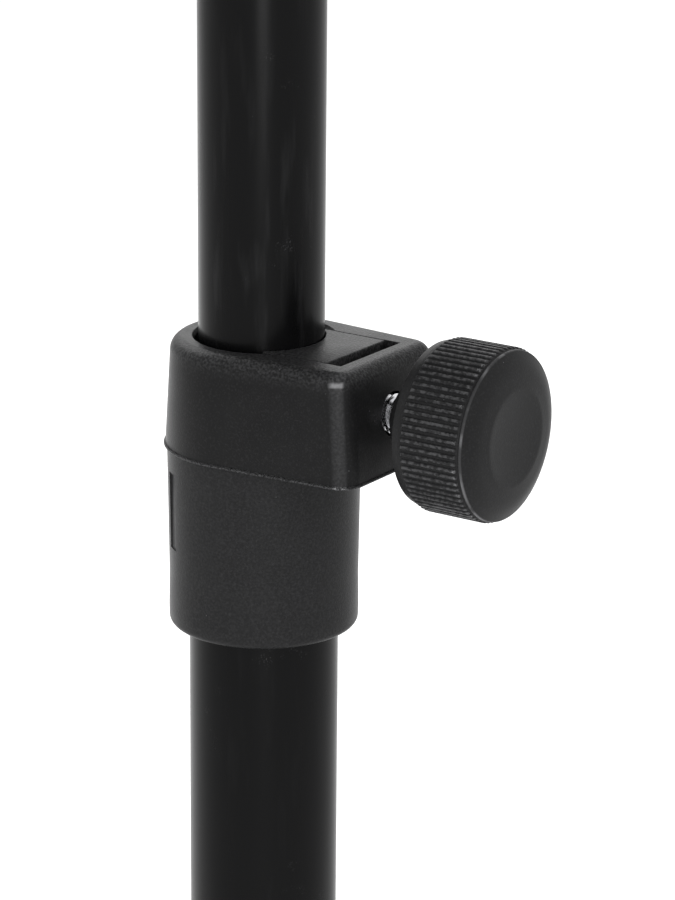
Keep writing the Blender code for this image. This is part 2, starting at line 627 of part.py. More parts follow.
def build_shelf(desk):
    """Folded shelf with a front lip, fixed to the foot of the panel."""
    mesh = bpy.data.meshes.new("music_shelf")
    work = bmesh.new()
    section = [work.verts.new((-DESK_WIDTH / 2, -out, up)) for out, up in shelf_section()]
    edges = [work.edges.new(pair) for pair in zip(section, section[1:])]
    pushed = bmesh.ops.extrude_edge_only(work, edges=edges)["geom"]
    moved = [v for v in pushed if isinstance(v, bmesh.types.BMVert)]
    bmesh.ops.translate(work, vec=(DESK_WIDTH, 0, 0), verts=moved)
    bmesh.ops.recalc_face_normals(work, faces=work.faces)
    floor = min(work.faces, key=lambda f: f.calc_center_median().z)
    if floor.normal.z < 0:
        bmesh.ops.reverse_faces(work, faces=work.faces)
    work.to_mesh(mesh)
    work.free()
    shelf = add("music_shelf", mesh, SHEET_PAINT, desk)
    wall = shelf.modifiers.new("sheet", "SOLIDIFY")
    wall.thickness = SHEET
    wall.offset = 1
    wall.use_even_offset = True


def build_rivet(name, desk, across, up, front, back, sheets):
    """A rivet from a front face to a back face, in holes through the sheets between them."""
    toward_front = (math.radians(90), 0, 0)  # a shape's own Z points out of the desk's front
    place = {"location": (across, 0, up), "rotation": toward_front}
    head, tail = -front, -back
    turned(name,
           [(0, head + RIVET_DOME), (RIVET_HEAD_R / 2, head + RIVET_DOME), (RIVET_HEAD_R, head),
            (RIVET_R, head), (RIVET_R, tail), (RIVET_TAIL_R, tail),
            (RIVET_TAIL_R - GAP, tail - RIVET_TAIL), (0, tail - RIVET_TAIL)],
           TUBE_PAINT, desk, around=AROUND_RIVET, **place)
    hole = turned(f"{name}_cut", rod_profile(RIVET_R + GAP, tail - PAST, head + PAST), None, desk,
                  around=AROUND_RIVET, group=helpers, **place)
    for sheet in sheets:
        combine(sheet, "DIFFERENCE", hole)


def build_rivets(desk):
    """Rivets that hold the backing plate and the shelf to the panel."""
    panel, backing, shelf = (stand.objects[name] for name in
                             ("desk_panel", "backing_plate", "music_shelf"))
    across, up = PLATE_HALF_WIDTH - PLATE_RIVET_INSET, PLATE_HALF_HEIGHT - PLATE_RIVET_INSET
    corners = [(sx * across, sz * up) for sz in (-1, 1) for sx in (-1, 1)]
    for number, (x, z) in enumerate(corners, start=1):
        build_rivet(f"plate_rivet_{number}", desk, x, z, PANEL_BACK - SHEET - GAP,
                    PANEL_BACK + PLATE_THICKNESS + 2 * GAP, (panel, backing))
    for number in range(1, SHELF_RIVETS + 1):
        x = (number - (SHELF_RIVETS + 1) / 2) * SHELF_RIVET_PITCH
        build_rivet(f"shelf_rivet_{number}", desk, x, DESK_BOTTOM + SHELF_FLANGE / 2,
                    PANEL_BACK - 2 * SHEET - 2 * GAP, PANEL_BACK + GAP, (panel, shelf))


def build_tilt_fastener(desk):
    """Coach bolt through lug and ears, with a washer and a hand knob."""
    outside = EAR_OUTER + GAP
    turned("tilt_bolt",
           [(0, TILT_BOLT_END), (PIN_R - CHAMFER / 2, TILT_BOLT_END),
            (PIN_R, TILT_BOLT_END - CHAMFER / 2), (PIN_R, -outside), (COACH_HEAD_R, -outside),
            (0.9 * COACH_HEAD_R, -outside - COACH_HEAD / 2),
            (COACH_HEAD_R / 2, -outside - 0.9 * COACH_HEAD), (0, -outside - COACH_HEAD)],
           DARK_STEEL, desk, around=AROUND_SMALL, rotation=ALONG_X)
    turned("tilt_washer",
           tube_profile(WASHER_R, WASHER_R - PIN_R - GAP, outside, outside + WASHER_THICKNESS),
           BRIGHT_STEEL, desk, around=AROUND_SMALL, rotation=ALONG_X)
    back = outside + WASHER_THICKNESS + GAP
    front = back + TILT_KNOB_LENGTH
    skirt = back + 0.3 * TILT_KNOB_LENGTH
    root_r = TILT_KNOB_R - 2 * TILT_KNOB_RIB_DEPTH
    low, high = skirt + 1.6 * CHAMFER, front - 3.8 * CHAMFER
    profile = [(0, front - CHAMFER), (0.4 * TILT_KNOB_R, front - 0.8 * CHAMFER),
               (WASHER_R, front), (0.8 * TILT_KNOB_R, front - 1.2 * CHAMFER),
               (TILT_KNOB_R - TILT_KNOB_RIB_DEPTH, high + GAP), (root_r, high - GAP),
               (root_r, low + GAP), (root_r - CHAMFER, skirt), (KNOB_HUB_R + GAP, skirt),
               (KNOB_HUB_R, back), (PIN_R + GAP, back), (PIN_R + GAP, TILT_BOLT_END + GAP),
               (0, TILT_BOLT_END + GAP)]
    knob = turned("tilt_knob", profile, KNOB_PLASTIC, desk, rotation=ALONG_X)
    ribs = plate("tilt_knurl_join",
                 ribbed_outline(TILT_KNOB_R, TILT_KNOB_RIBS, TILT_KNOB_RIB_DEPTH), high - low, None,
                 desk, group=helpers, location=((low + high) / 2, 0, 0), rotation=ALONG_X)
    core = turned("tilt_core_cut", rod_profile(0.85 * TILT_KNOB_R, -PAST, PAST), None, ribs,
                  around=AROUND_SMALL, group=helpers)
    combine(ribs, "DIFFERENCE", core)
    combine(knob, "UNION", ribs)


def build_desk():
    """Everything that tilts."""
    desk = anchor("desk_frame", (0, 0, TILT_HEIGHT), (-DESK_LEAN, 0, 0), upper_pole)
    build_bracket(desk)
    build_panel(desk)
    build_shelf(desk)
    build_rivets(desk)
    build_tilt_fastener(desk)


build_pole()
build_collar()
build_block()
build_nut()
build_screw()
build_knob()
build_hub()
for leg_number, leg_angle in enumerate(LEG_ANGLES, start=1):
    build_leg(leg_number, leg_angle)
build_tilt_head()
build_desk()

for piece in stand.objects:
    if piece.type == "MESH":
        smooth(piece)
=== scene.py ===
"""A height-adjustable music stand, finished for a close look at its height clamp.

Every piece is built in its own frame, then placed: the pole's axis, the clamp, the screw, each leg
and the desk.  Lengths are in metres.
"""
import json
import math

import bmesh
import bpy
from mathutils import Matrix, Vector


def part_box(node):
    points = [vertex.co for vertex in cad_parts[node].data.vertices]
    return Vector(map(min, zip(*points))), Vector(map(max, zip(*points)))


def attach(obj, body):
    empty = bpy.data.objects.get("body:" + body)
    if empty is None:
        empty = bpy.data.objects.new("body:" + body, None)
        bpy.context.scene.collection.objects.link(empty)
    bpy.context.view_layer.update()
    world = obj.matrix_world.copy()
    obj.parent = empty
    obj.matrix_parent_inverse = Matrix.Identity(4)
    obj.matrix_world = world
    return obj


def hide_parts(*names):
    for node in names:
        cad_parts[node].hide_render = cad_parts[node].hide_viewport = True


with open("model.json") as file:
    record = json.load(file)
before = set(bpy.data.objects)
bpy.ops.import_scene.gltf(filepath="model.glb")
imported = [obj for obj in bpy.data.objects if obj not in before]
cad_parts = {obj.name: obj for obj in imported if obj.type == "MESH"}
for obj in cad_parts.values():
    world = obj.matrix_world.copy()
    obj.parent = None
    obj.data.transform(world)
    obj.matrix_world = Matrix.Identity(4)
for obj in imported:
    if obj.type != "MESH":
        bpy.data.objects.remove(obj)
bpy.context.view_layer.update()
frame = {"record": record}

MM = 0.001
FULL_TURN = 2 * math.pi

# ---- places, read from the frame ----------------------------------------------------------------
record = frame["record"]
behaviour = record["behaviour"]
body_of_node = {node: body for body, nodes in behaviour["bodies"].items() for node in nodes}
joints = {joint["name"]: joint for joint in behaviour["joints"]}


def corners(node):
    """A CAD node's lowest and highest corners, as vectors."""
    low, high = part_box(node)
    return Vector(low), Vector(high)


def turn(axis, degrees):
    """A turn about a named axis."""
    return Matrix.Rotation(math.radians(degrees), 4, axis)


pole_low, pole_high = corners("lower_tube")
upper_low, upper_high = corners("upper_tube")
POLE = Matrix.Translation((0, (pole_low.y + pole_high.y) / 2, 0))
UPPER = Matrix.Translation(((upper_low.x + upper_high.x) / 2, (upper_low.y + upper_high.y) / 2, 0))
CLAMP = POLE @ Matrix.Translation((0, 0, pole_high.z))
screw_height = joints["clamp_knob_turn"]["pos_m"][2] - pole_high.z
SCREW = CLAMP @ Matrix.Translation((0, 0, screw_height)) @ turn("Y", 90)
DESK_LEAN = 22.0
DESK = Matrix.Translation(joints["desk_tilt"]["pos_m"]) @ turn("X", -DESK_LEAN)
TILT_AXIS = DESK @ turn("Y", 90)
LEG_SLOPE = 14.5
LEG_ANGLES = (90.0, 210.0, 330.0)
GAP = 0.3 * MM

# sizes that a shape shares with the wear and painted highlights in its finish
HEAD_HEIGHT = 22.0 * MM
HEAD_END = 31.8 * MM
HEAD_SHRINK = 0.94
HEAD_DRAFT = HEAD_END * (1 - HEAD_SHRINK) / HEAD_HEIGHT
KNOB_CORE_R = 16.65 * MM
KNOB_RIM_R = 16.6 * MM
KNOB_BAND_LOW = 43.2 * MM
KNOB_BAND_HIGH = 55.0 * MM
KNOB_RIM_FRONT = 56.2 * MM


# ---- finishes -----------------------------------------------------------------------------------
class Field:
    """A number that changes over a surface.  Arithmetic on it adds Math nodes."""

    def __init__(self, finish, socket):
        self.finish = finish
        self.socket = socket

    def math(self, operation, first, second):
        return self.finish.node("ShaderNodeMath", {"operation": operation}, {0: first, 1: second})

    def __add__(self, other):
        return self.math("ADD", self, other)

    def __sub__(self, other):
        return self.math("SUBTRACT", self, other)

    def __rsub__(self, other):
        return self.math("SUBTRACT", other, self)

    def __mul__(self, other):
        return self.math("MULTIPLY", self, other)

    def __abs__(self):
        return self.math("ABSOLUTE", self, 0.0)

    __radd__ = __add__
    __rmul__ = __mul__


class Finish:
    """A material built from procedural nodes on Object coordinates."""

    def __init__(self, name, colour, roughness, metallic=0.0, specular=0.5):
        self.material = bpy.data.materials.new(name)
        self.material.use_nodes = True
        self.tree = self.material.node_tree
        self.shader = self.tree.nodes["Principled BSDF"]
        self.colour = colour
        self.set("Base Color", (*colour, 1.0))
        self.set("Roughness", roughness)
        self.set("Metallic", metallic)
        self.set("Specular IOR Level", specular)
        self.place = self.node("ShaderNodeTexCoord", {}, {}, "Object")

    def node(self, kind, settings, inputs, output=0):
        """A node with its settings, then its sockets' values or links; returns one output."""
        made = self.tree.nodes.new(kind)
        for setting, value in settings.items():
            setattr(made, setting, value)
        for socket, value in inputs.items():
            if isinstance(value, Field):
                self.tree.links.new(value.socket, made.inputs[socket])
            else:
                made.inputs[socket].default_value = value
        return Field(self, made.outputs[output])

    def set(self, socket, value):
        """Gives the shader's socket a value or a link."""
        if isinstance(value, Field):
            self.tree.links.new(value.socket, self.shader.inputs[socket])
        else:
            self.shader.inputs[socket].default_value = value

    def stretched(self, scale):
        """Object coordinates, scaled along each axis."""
        return self.node("ShaderNodeMapping", {}, {"Vector": self.place, "Scale": scale})

    def noise(self, size, detail=2.0, vector=None):
        """Soft noise from 0 to 1, with features about one size across."""
        return self.node("ShaderNodeTexNoise", {}, {
            "Vector": vector or self.place, "Scale": 1 / size, "Detail": detail})

    def along(self, axis):
        """One of the Object coordinates."""
        return self.node("ShaderNodeSeparateXYZ", {}, {"Vector": self.place}, axis)

    def distance(self, point, keep):
        """Distance from a point, counting only the axes that are kept."""
        away = self.node("ShaderNodeVectorMath", {"operation": "SUBTRACT"},
                         {0: self.place, 1: tuple(point)})
        flat = self.node("ShaderNodeVectorMath", {"operation": "MULTIPLY"}, {0: away, 1: keep})
        return self.node("ShaderNodeVectorMath", {"operation": "LENGTH"}, {0: flat}, "Value")

    def between(self, field, low, high, start=0.0, end=1.0):
        """A smooth ramp from start to end as the field goes from low to high."""
        return self.node("ShaderNodeMapRange", {"interpolation_type": "SMOOTHSTEP"}, {
            "Value": field, "From Min": low, "From Max": high, "To Min": start, "To Max": end})

    def specks(self, spacing, size, share):
        """A mask of small round specks, in a share of the cells of a random grid."""
        cells = {"Vector": self.place, "Scale": 1 / spacing}
        near = self.node("ShaderNodeTexVoronoi", {"feature": "F1"}, cells, "Distance")
        pick = self.node("ShaderNodeTexVoronoi", {"feature": "F1"}, cells, "Color")
        chance = self.node("ShaderNodeSeparateColor", {}, {"Color": pick}, "Red")
        spot = self.between(near, 0.4 * size / spacing, size / spacing, 1.0, 0.0)
        return spot * self.between(chance, 1 - share - 0.01, 1 - share)

    def tint(self, mask, colour):
        """Mixes a colour over the base colour."""
        return self.node("ShaderNodeMix", {"data_type": "RGBA"}, {
            "Factor": mask, "A": (*self.colour, 1.0), "B": (*colour, 1.0)}, "Result")

    def bump(self, height, depth):
        """Raises the surface by the height field times a depth."""
        self.set("Normal", self.node("ShaderNodeBump", {}, {
            "Height": height, "Distance": depth, "Strength": 1.0}, "Normal"))


WORN_PAINT = (0.30, 0.30, 0.31)
# Pale grey for dust and specks, also used for painted highlights on the moulded plastic.
DUST_AND_HIGHLIGHT_GREY = (0.32, 0.32, 0.33)
RUBBER_BLOOM = (0.30, 0.29, 0.28)


def tube_paint():
    """Satin black paint on drawn tube: faint drawing lines, dust specks, scuffs and slide marks."""
    made = Finish("satin_black_tube_paint", (0.0030, 0.0030, 0.0032), 0.26, specular=0.10)
    dust = made.specks(5.5 * MM, 0.13 * MM, 0.30)
    fine = made.specks(1.7 * MM, 0.07 * MM, 0.10)
    scuff = made.between(made.noise(11 * MM, 3), 0.66, 0.74)
    grain = made.noise(0.35 * MM, 3)
    marks = scuff * made.between(grain, 0.55, 0.70)
    mask = dust + fine * 0.6
    rubbed = made.between(made.noise(2.6 * MM, 3, made.stretched((1.0, 1.0, 0.12))), 0.52, 0.76)
    height = abs(made.along("Z") - (CLAMP.translation.z + HEAD_HEIGHT))
    slid = rubbed * made.between(height, 10 * MM, 70 * MM, 1.0, 0.15)
    pale = mask * 0.55 + marks * 0.10 + slid * 0.030
    made.set("Base Color", made.tint(pale, WORN_PAINT))
    cloud = made.noise(16 * MM, 3)
    bands = made.noise(7 * MM, 1, made.stretched((1.0, 1.0, 0.02)))
    made.set("Roughness", 0.14 + cloud * 0.10 + bands * 0.12 + marks * 0.15)
    lines = made.noise(0.8 * MM, 2, made.stretched((1.0, 1.0, 0.03)))
    made.bump(lines * 0.5 + grain * 0.4 + mask * 2.0, 0.010 * MM)
    return made


def moulding(name, shade, roughness, specular, wear_and_painted_light=None):
    """Moulded black plastic: fine spark-eroded grain, pale specks and soft cloudy gloss.

    The worn function gives a mask of painted highlights, and on the knob of paler crests, that is
    added to the pale tint."""
    made = Finish(name, (shade, shade, shade * 1.03), roughness, specular=specular)
    grain = made.noise(0.30 * MM, 3)
    cloud = made.noise(7 * MM, 4)
    dust = made.specks(2.2 * MM, 0.10 * MM, 0.22)
    speck = made.between(made.noise(0.42 * MM, 2), 0.50, 0.70)
    pale = dust * 0.45 + speck * 0.018 + cloud * 0.012
    relief = grain + dust * 1.5 + cloud * 0.6
    # The mask's painted highlights are mixed into the pale tint and also raise the bump.
    if wear_and_painted_light:
        wear_and_highlight = wear_and_painted_light(made, grain)
        pale = pale + wear_and_highlight
        relief = relief + wear_and_highlight * 12.0
    made.set("Base Color", made.tint(pale, DUST_AND_HIGHLIGHT_GREY))
    made.set("Roughness", (roughness - 0.06) + cloud * 0.10 + grain * 0.04)
    made.bump(relief, 0.032 * MM)
    return made


def collar_painted_light(made, grain):
    """Painted light on the collar: highlights painted as paler plastic on the mould line, top edge
    and end corners, with a bright spot high on each corner, and the sleeve painted lighter.
    """
    height = made.along("Z") - CLAMP.translation.z
    reach = made.along("X") + height * HEAD_DRAFT
    # Painted highlight: the rounded end corners are painted paler, standing in for the lit strip they
    # show.
    corner = (made.between(reach, HEAD_END - 4.0 * MM, HEAD_END - 2.7 * MM)
              * made.between(reach, HEAD_END - 1.4 * MM, HEAD_END - 0.9 * MM, 1.0, 0.0)
              * made.between(height, -0.6 * MM, 0.0))
    # Painted highlight: a bright spot high on each end corner.
    tip = made.between(abs(height - (HEAD_HEIGHT - 2.1 * MM)), 0.20 * MM, 0.75 * MM, 1.0, 0.0)
    # Painted highlight: a bright line along the mould line's flash, strongest at the corners.
    line = made.between(abs(height), 0.20 * MM, 0.45 * MM, 1.0, 0.0)
    # Painted light: the whole sleeve is painted a little lighter than the head, for how light falls
    # on it.
    sleeve = made.between(height, -0.5 * MM, 0.0, 1.0, 0.0)
    # Painted highlight: pale sparkle over the top rounding.
    upper = made.between(height, HEAD_HEIGHT - 5.0 * MM, HEAD_HEIGHT - 0.2 * MM)
    patch = made.between(made.noise(0.5 * MM, 3), 0.36, 0.70)
    grain_breakup = made.between(grain, 0.38, 0.62)
    return (line * grain_breakup * (corner * 0.60 + 0.16) + upper * patch * 0.085
            + corner * (patch * 0.035 + tip * 0.50 + 0.035) + sleeve * (patch * 0.020 + 0.012))


def rib_wear_and_painted_highlights(made, grain):
    """Paler crests on the hand knob, with painted highlights on the front rib ends and the front
    rim's edge.
    """
    centre = SCREW.translation
    radius = made.distance(centre, (0, 1, 1))
    reach = made.along("X") - centre.x
    crest = made.between(radius, KNOB_CORE_R, KNOB_CORE_R + 0.35 * MM)
    patch = made.between(made.noise(0.9 * MM, 3), 0.40, 0.62)
    blotch = made.between(made.noise(5 * MM, 2), 0.42, 0.58)
    # Painted highlights: bright dots on the front ends of the ribs.
    front = made.between(reach, KNOB_BAND_HIGH - 0.8 * MM, KNOB_BAND_HIGH - 0.2 * MM)
    ends = front * blotch * made.between(grain, 0.38, 0.58)
    # Painted highlight: a thin bright arc on the front rim's edge.
    rim = made.between(abs(reach - (KNOB_RIM_FRONT - 0.15 * MM)), 0.15 * MM, 0.32 * MM, 1.0, 0.0)
    edge = rim * made.between(radius, KNOB_RIM_R - 0.5 * MM, KNOB_RIM_R - 0.2 * MM)
    return crest * (patch * 0.13 + ends * 0.45 + 0.01) + edge * (blotch * 0.25 + 0.08)


def sheet_paint():
    """Fine-textured powder coat on sheet steel."""
    made = Finish("textured_black_sheet_paint", (0.006, 0.006, 0.0063), 0.50, specular=0.22)
    texture = made.noise(0.55 * MM, 2)
    cloud = made.noise(40 * MM, 3)
    dust = made.specks(9 * MM, 0.20 * MM, 0.25)
    made.set("Base Color", made.tint(dust * 0.4 + cloud * 0.018, DUST_AND_HIGHLIGHT_GREY))
    made.set("Roughness", 0.46 + cloud * 0.10)
    made.bump(made.between(texture, 0.35, 0.65), 0.050 * MM)
    return made


def rubber():
    """Matt black rubber with a dusty bloom."""
    made = Finish("matt_black_rubber", (0.009, 0.009, 0.009), 0.78, specular=0.25)
    bloom = made.noise(9 * MM, 4)
    grain = made.noise(0.3 * MM, 3)
    made.set("Base Color", made.tint(made.between(bloom, 0.45, 0.85) * 0.08, RUBBER_BLOOM))
    made.set("Roughness", 0.70 + bloom * 0.14)
    made.bump(grain, 0.030 * MM)
    return made


def plated(name, colour, roughness):
    """Zinc-plated steel: fine machining lines and slightly cloudy plating."""
    made = Finish(name, colour, roughness, metallic=1.0)
    cloud = made.noise(2.5 * MM, 3)
    grain = made.noise(0.12 * MM, 2)
    dull = made.between(cloud, 0.45, 0.75)
    made.set("Base Color", made.tint(dull * 0.35, tuple(channel * 0.72 for channel in colour)))
    made.set("Roughness", (roughness - 0.04) + dull * 0.14)
    made.bump(grain, 0.006 * MM)
    return made


TUBE_PAINT = tube_paint()
SHEET_PAINT = sheet_paint()
MOULDED_PLASTIC = moulding("moulded_black_nylon", shade=0.0080, roughness=0.36, specular=0.085)
COLLAR_PLASTIC = moulding("collar_black_nylon", shade=0.0080, roughness=0.36, specular=0.085,
                          wear_and_painted_light=collar_painted_light)
HAND_KNOB_PLASTIC = moulding("hand_knob_black_plastic", shade=0.0118, roughness=0.40,
                             specular=0.075, wear_and_painted_light=rib_wear_and_painted_highlights)
KNOB_PLASTIC = moulding("knob_black_plastic", shade=0.0125, roughness=0.40, specular=0.060)
FOOT_RUBBER = rubber()
BRIGHT_ZINC = plated("bright_zinc_plate", (0.78, 0.78, 0.80), roughness=0.22)
DARK_ZINC = plated("black_zinc_plate", (0.09, 0.09, 0.10), roughness=0.36)


# ---- shapes -------------------------------------------------------------------------------------
def arc(centre, radius, start, end, steps):
    """Points on an arc, both ends included, angles in degrees."""
    angles = [math.radians(start + (end - start) * i / steps) for i in range(steps + 1)]
    return [(centre[0] + radius * math.cos(a), centre[1] + radius * math.sin(a)) for a in angles]


def rounded(points, steps=6):
    """A line's points, with an arc at each corner that has a third value, its radius."""
    made = []
    for before, corner, after in zip(points[:1] + points, points, points[1:] + points[-1:]):
        here = Vector(corner[:2])
        if len(corner) == 2:
            made.append(tuple(here))
            continue
        into = (here - Vector(before[:2])).normalized()
        out = (Vector(after[:2]) - here).normalized()
        bend = math.atan2(into.x * out.y - into.y * out.x, into.dot(out))
        start = here - into * corner[2] * math.tan(abs(bend) / 2)
        centre = start + Vector((-into.y, into.x)) * math.copysign(corner[2], bend)
        for i in range(steps + 1):
            made.append(tuple(centre + Matrix.Rotation(bend * i / steps, 2) @ (start - centre)))
    return made


def cleaned(work):
    """Merges doubles and turns the faces outwards."""
    bmesh.ops.remove_doubles(work, verts=work.verts, dist=1e-7)
    bmesh.ops.recalc_face_normals(work, faces=work.faces)
    return work


def lathe(profile, steps=96, ring=False):
    """A shape turned about Z from (radius, height) points; a ring closes its own profile."""
    work = bmesh.new()
    points = [work.verts.new((radius, 0, height)) for radius, height in profile]
    edges = [work.edges.new(pair) for pair in zip(points, points[1:])]
    if ring:
        edges.append(work.edges.new((points[-1], points[0])))
    bmesh.ops.spin(work, geom=points + edges, axis=(0, 0, 1), cent=(0, 0, 0), angle=FULL_TURN,
                   steps=steps, use_merge=True)
    return cleaned(work)


def rod(radius, low, high, chamfer=0.0, steps=64):
    """A solid rod along Z, with chamfered ends."""
    return lathe([(0, high), (radius - chamfer, high), (radius, high - chamfer),
                  (radius, low + chamfer), (radius - chamfer, low), (0, low)], steps)


def tube(outer, wall, low, high, edge=0.35 * MM, steps=128):
    """A tube along Z with rounded rims."""
    inner = outer - wall
    loop = [(outer, (low + high) / 2), (outer, high, edge), (inner, high, edge),
            (inner, low, edge), (outer, low, edge), (outer, (low + high) / 2)]
    return lathe(rounded(loop, 4)[:-1], steps, ring=True)


def bevel(work, edges, radius, segments=4):
    """Rounds edges."""
    bmesh.ops.bevel(work, geom=list(edges), offset=radius, offset_type="OFFSET",
                    segments=segments, profile=0.5, affect="EDGES", material=-1)


def slab(low, high, radius=0.0, segments=4):
    """A box between two corners, with rounded edges."""
    work = bmesh.new()
    bmesh.ops.create_cube(work, size=1)
    low, high = Vector(low), Vector(high)
    bmesh.ops.scale(work, vec=high - low, verts=work.verts)
    bmesh.ops.translate(work, vec=(low + high) / 2, verts=work.verts)
    if radius:
        bevel(work, work.edges, radius, segments)
    return work


def prism(outline, low, high, edge=0.0, segments=3):
    """An outline in XY raised from low to high, with its two rims rounded."""
    work = bmesh.new()
    face = work.faces.new([work.verts.new((x, y, low)) for x, y in outline])
    pushed = bmesh.ops.extrude_face_region(work, geom=[face])["geom"]
    moved = [part for part in pushed if isinstance(part, bmesh.types.BMVert)]
    bmesh.ops.translate(work, vec=(0, 0, high - low), verts=moved)
    bmesh.ops.recalc_face_normals(work, faces=work.faces)
    if edge:
        rims = [e for e in work.edges if abs(e.verts[0].co.z - e.verts[1].co.z) < 1e-9]
        bevel(work, rims, edge, segments)
    return work


def placed(work, matrix):
    """Moves a shape into a frame."""
    bmesh.ops.transform(work, matrix=matrix, verts=work.verts)
    return work


def loose_object(work):
    """A bare object for a Boolean."""
    mesh = bpy.data.meshes.new("shape")
    work.to_mesh(mesh)
    work.free()
    made = bpy.data.objects.new("shape", mesh)
    bpy.context.scene.collection.objects.link(made)
    return made


def combined(operation, work, *others):
    """The first shape joined to the others, or cut by them."""
    target = loose_object(work)
    tools = [loose_object(other) for other in others]
    for tool in tools:
        change = target.modifiers.new(operation, "BOOLEAN")
        change.operation = operation
        change.object = tool
    solved = target.evaluated_get(bpy.context.evaluated_depsgraph_get())
    result = bmesh.new()
    result.from_mesh(solved.to_mesh())
    solved.to_mesh_clear()
    for used in [target, *tools]:
        mesh = used.data
        bpy.data.objects.remove(used)
        bpy.data.meshes.remove(mesh)
    bmesh.ops.remove_doubles(result, verts=result.verts, dist=1e-6)
    return result


def joined(work, *others):
    """The first shape with the others added."""
    return combined("UNION", work, *others)


def cut(work, *others):
    """The first shape with the others taken out of it."""
    return combined("DIFFERENCE", work, *others)


def thread(radius, pitch, low, high, steps=40):
    """A rod along Z with a helical thread."""
    root = radius - 0.61 * pitch
    tooth = [(root, 0), (radius, 0.40 * pitch), (radius, 0.52 * pitch), (root, 0.92 * pitch),
             (root, pitch)]
    turns = math.ceil((high - low) / pitch) + 2
    work = bmesh.new()
    points = [work.verts.new((r, 0, low - pitch + z)) for r, z in tooth]
    edges = [work.edges.new(pair) for pair in zip(points, points[1:])]
    bmesh.ops.spin(work, geom=points + edges, axis=(0, 0, 1), cent=(0, 0, 0),
                   dvec=(0, 0, pitch / steps), angle=FULL_TURN * turns, steps=steps * turns)
    bmesh.ops.remove_doubles(work, verts=work.verts, dist=1e-6)
    for height, outwards in ((low, (0, 0, -1)), (high, (0, 0, 1))):
        bmesh.ops.bisect_plane(work, geom=list(work.verts) + list(work.edges) + list(work.faces),
                               plane_co=(0, 0, height), plane_no=outwards, clear_outer=True)
    bmesh.ops.holes_fill(work, edges=[e for e in work.edges if e.is_boundary], sides=0)
    return cleaned(work)


RIB_COLUMNS = 6  # mesh columns for each rib, half of them on its crest


def knurled(profile, ribs, low, high, height):
    """A turned shape whose band from low to high carries straight ribs of a height."""
    columns = ribs * RIB_COLUMNS
    work = lathe(profile, columns)
    band = [v for v in work.verts if low - 0.01 * MM < v.co.z < high + 0.01 * MM]
    reach = max(v.co.xy.length for v in band)
    crest = []
    for vert in band:
        column = round(math.atan2(vert.co.y, vert.co.x) / FULL_TURN * columns) % RIB_COLUMNS
        if vert.co.xy.length > reach - 0.2 * MM and column < RIB_COLUMNS / 2:
            crest.append(vert)
    grow = 1 + height / reach
    bmesh.ops.scale(work, vec=(grow, grow, 1), verts=crest)
    return work


PIN_R = 3 * MM
PIN_BORE_HALF = 20 * MM


def pin_bore(place):
    """A cutter for a pin's clearance hole, along a place's Z."""
    return placed(rod(PIN_R + GAP, -PIN_BORE_HALF, PIN_BORE_HALF, steps=32), place)


def piece(name, node, work, finish, sharp=32):
    """A finished piece that stands for a CAD node and rides on its body."""
    mesh = bpy.data.meshes.new(name)
    work.to_mesh(mesh)
    work.free()
    mesh.shade_smooth()
    mesh.set_sharp_from_angle(angle=math.radians(sharp))
    mesh.materials.append(finish.material)
    made = bpy.data.objects.new(name, mesh)
    bpy.context.scene.collection.objects.link(made)
    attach(made, body_of_node[node])
    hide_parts(node)
    return made


# ---- pole ---------------------------------------------------------------------------------------
TUBE_WALL = 1.5 * MM
GLIDE_PLUG = 25 * MM
GLIDE_FLANGE = 6 * MM
lower_r = (pole_high.x - pole_low.x) / 2
upper_r = (upper_high.x - upper_low.x) / 2


def make_pole():
    """Both tubes and the glide plug."""
    piece("lower_pole_tube", "lower_tube",
          placed(tube(lower_r, TUBE_WALL, pole_low.z, pole_high.z), POLE), TUBE_PAINT)
    piece("upper_pole_tube", "upper_tube",
          placed(tube(upper_r, TUBE_WALL, upper_low.z, upper_high.z), UPPER), TUBE_PAINT)
    spigot_r = upper_r - TUBE_WALL - GAP
    shoulder = upper_low.z - GAP
    top, foot = shoulder + GLIDE_PLUG, shoulder - GLIDE_FLANGE
    profile = rounded([(0, top), (spigot_r, top, 1.5 * MM), (spigot_r, shoulder),
                       (upper_r, shoulder, 0.2 * MM), (upper_r, foot, 1.5 * MM), (0, foot)])
    piece("glide", "glide_plug", placed(lathe(profile, 64), UPPER), MOULDED_PLASTIC)


# ---- height clamp -------------------------------------------------------------------------------
SLEEVE_LENGTH = 37.46 * MM
SLEEVE_R = 19.0 * MM
SLEEVE_TOP_R = 19.35 * MM
SLEEVE_EDGE = 1.5 * MM
HEAD_R = 19.65 * MM
HEAD_TAPER = 4.5
HEAD_CORNER = 4.6 * MM
HEAD_EDGE = 2.7 * MM
FLASH = 0.32 * MM
FLASH_HALF = 0.25 * MM
SOCKET_R = 15.3 * MM
GUIDE_R = 13.8 * MM
POCKET_END = 25.2 * MM
POCKET_HALF = 10.4 * MM
POCKET_FLOOR = 2.0 * MM
BLOCK_END = 21.7 * MM
NUT_SIDE = 11.0 * MM
NUT_THICKNESS = 2.2 * MM
SCREW_HOLE_R = 4.5 * MM
RECESS_ANGLE = 233.6
RECESS_HALF = 1.75 * MM
RECESS_TOP = -4.9 * MM
RECESS_FOOT = -20.7 * MM
STUD_R = 4.0 * MM
STUD_PITCH = 1.25 * MM
STUD_END = 49.5 * MM


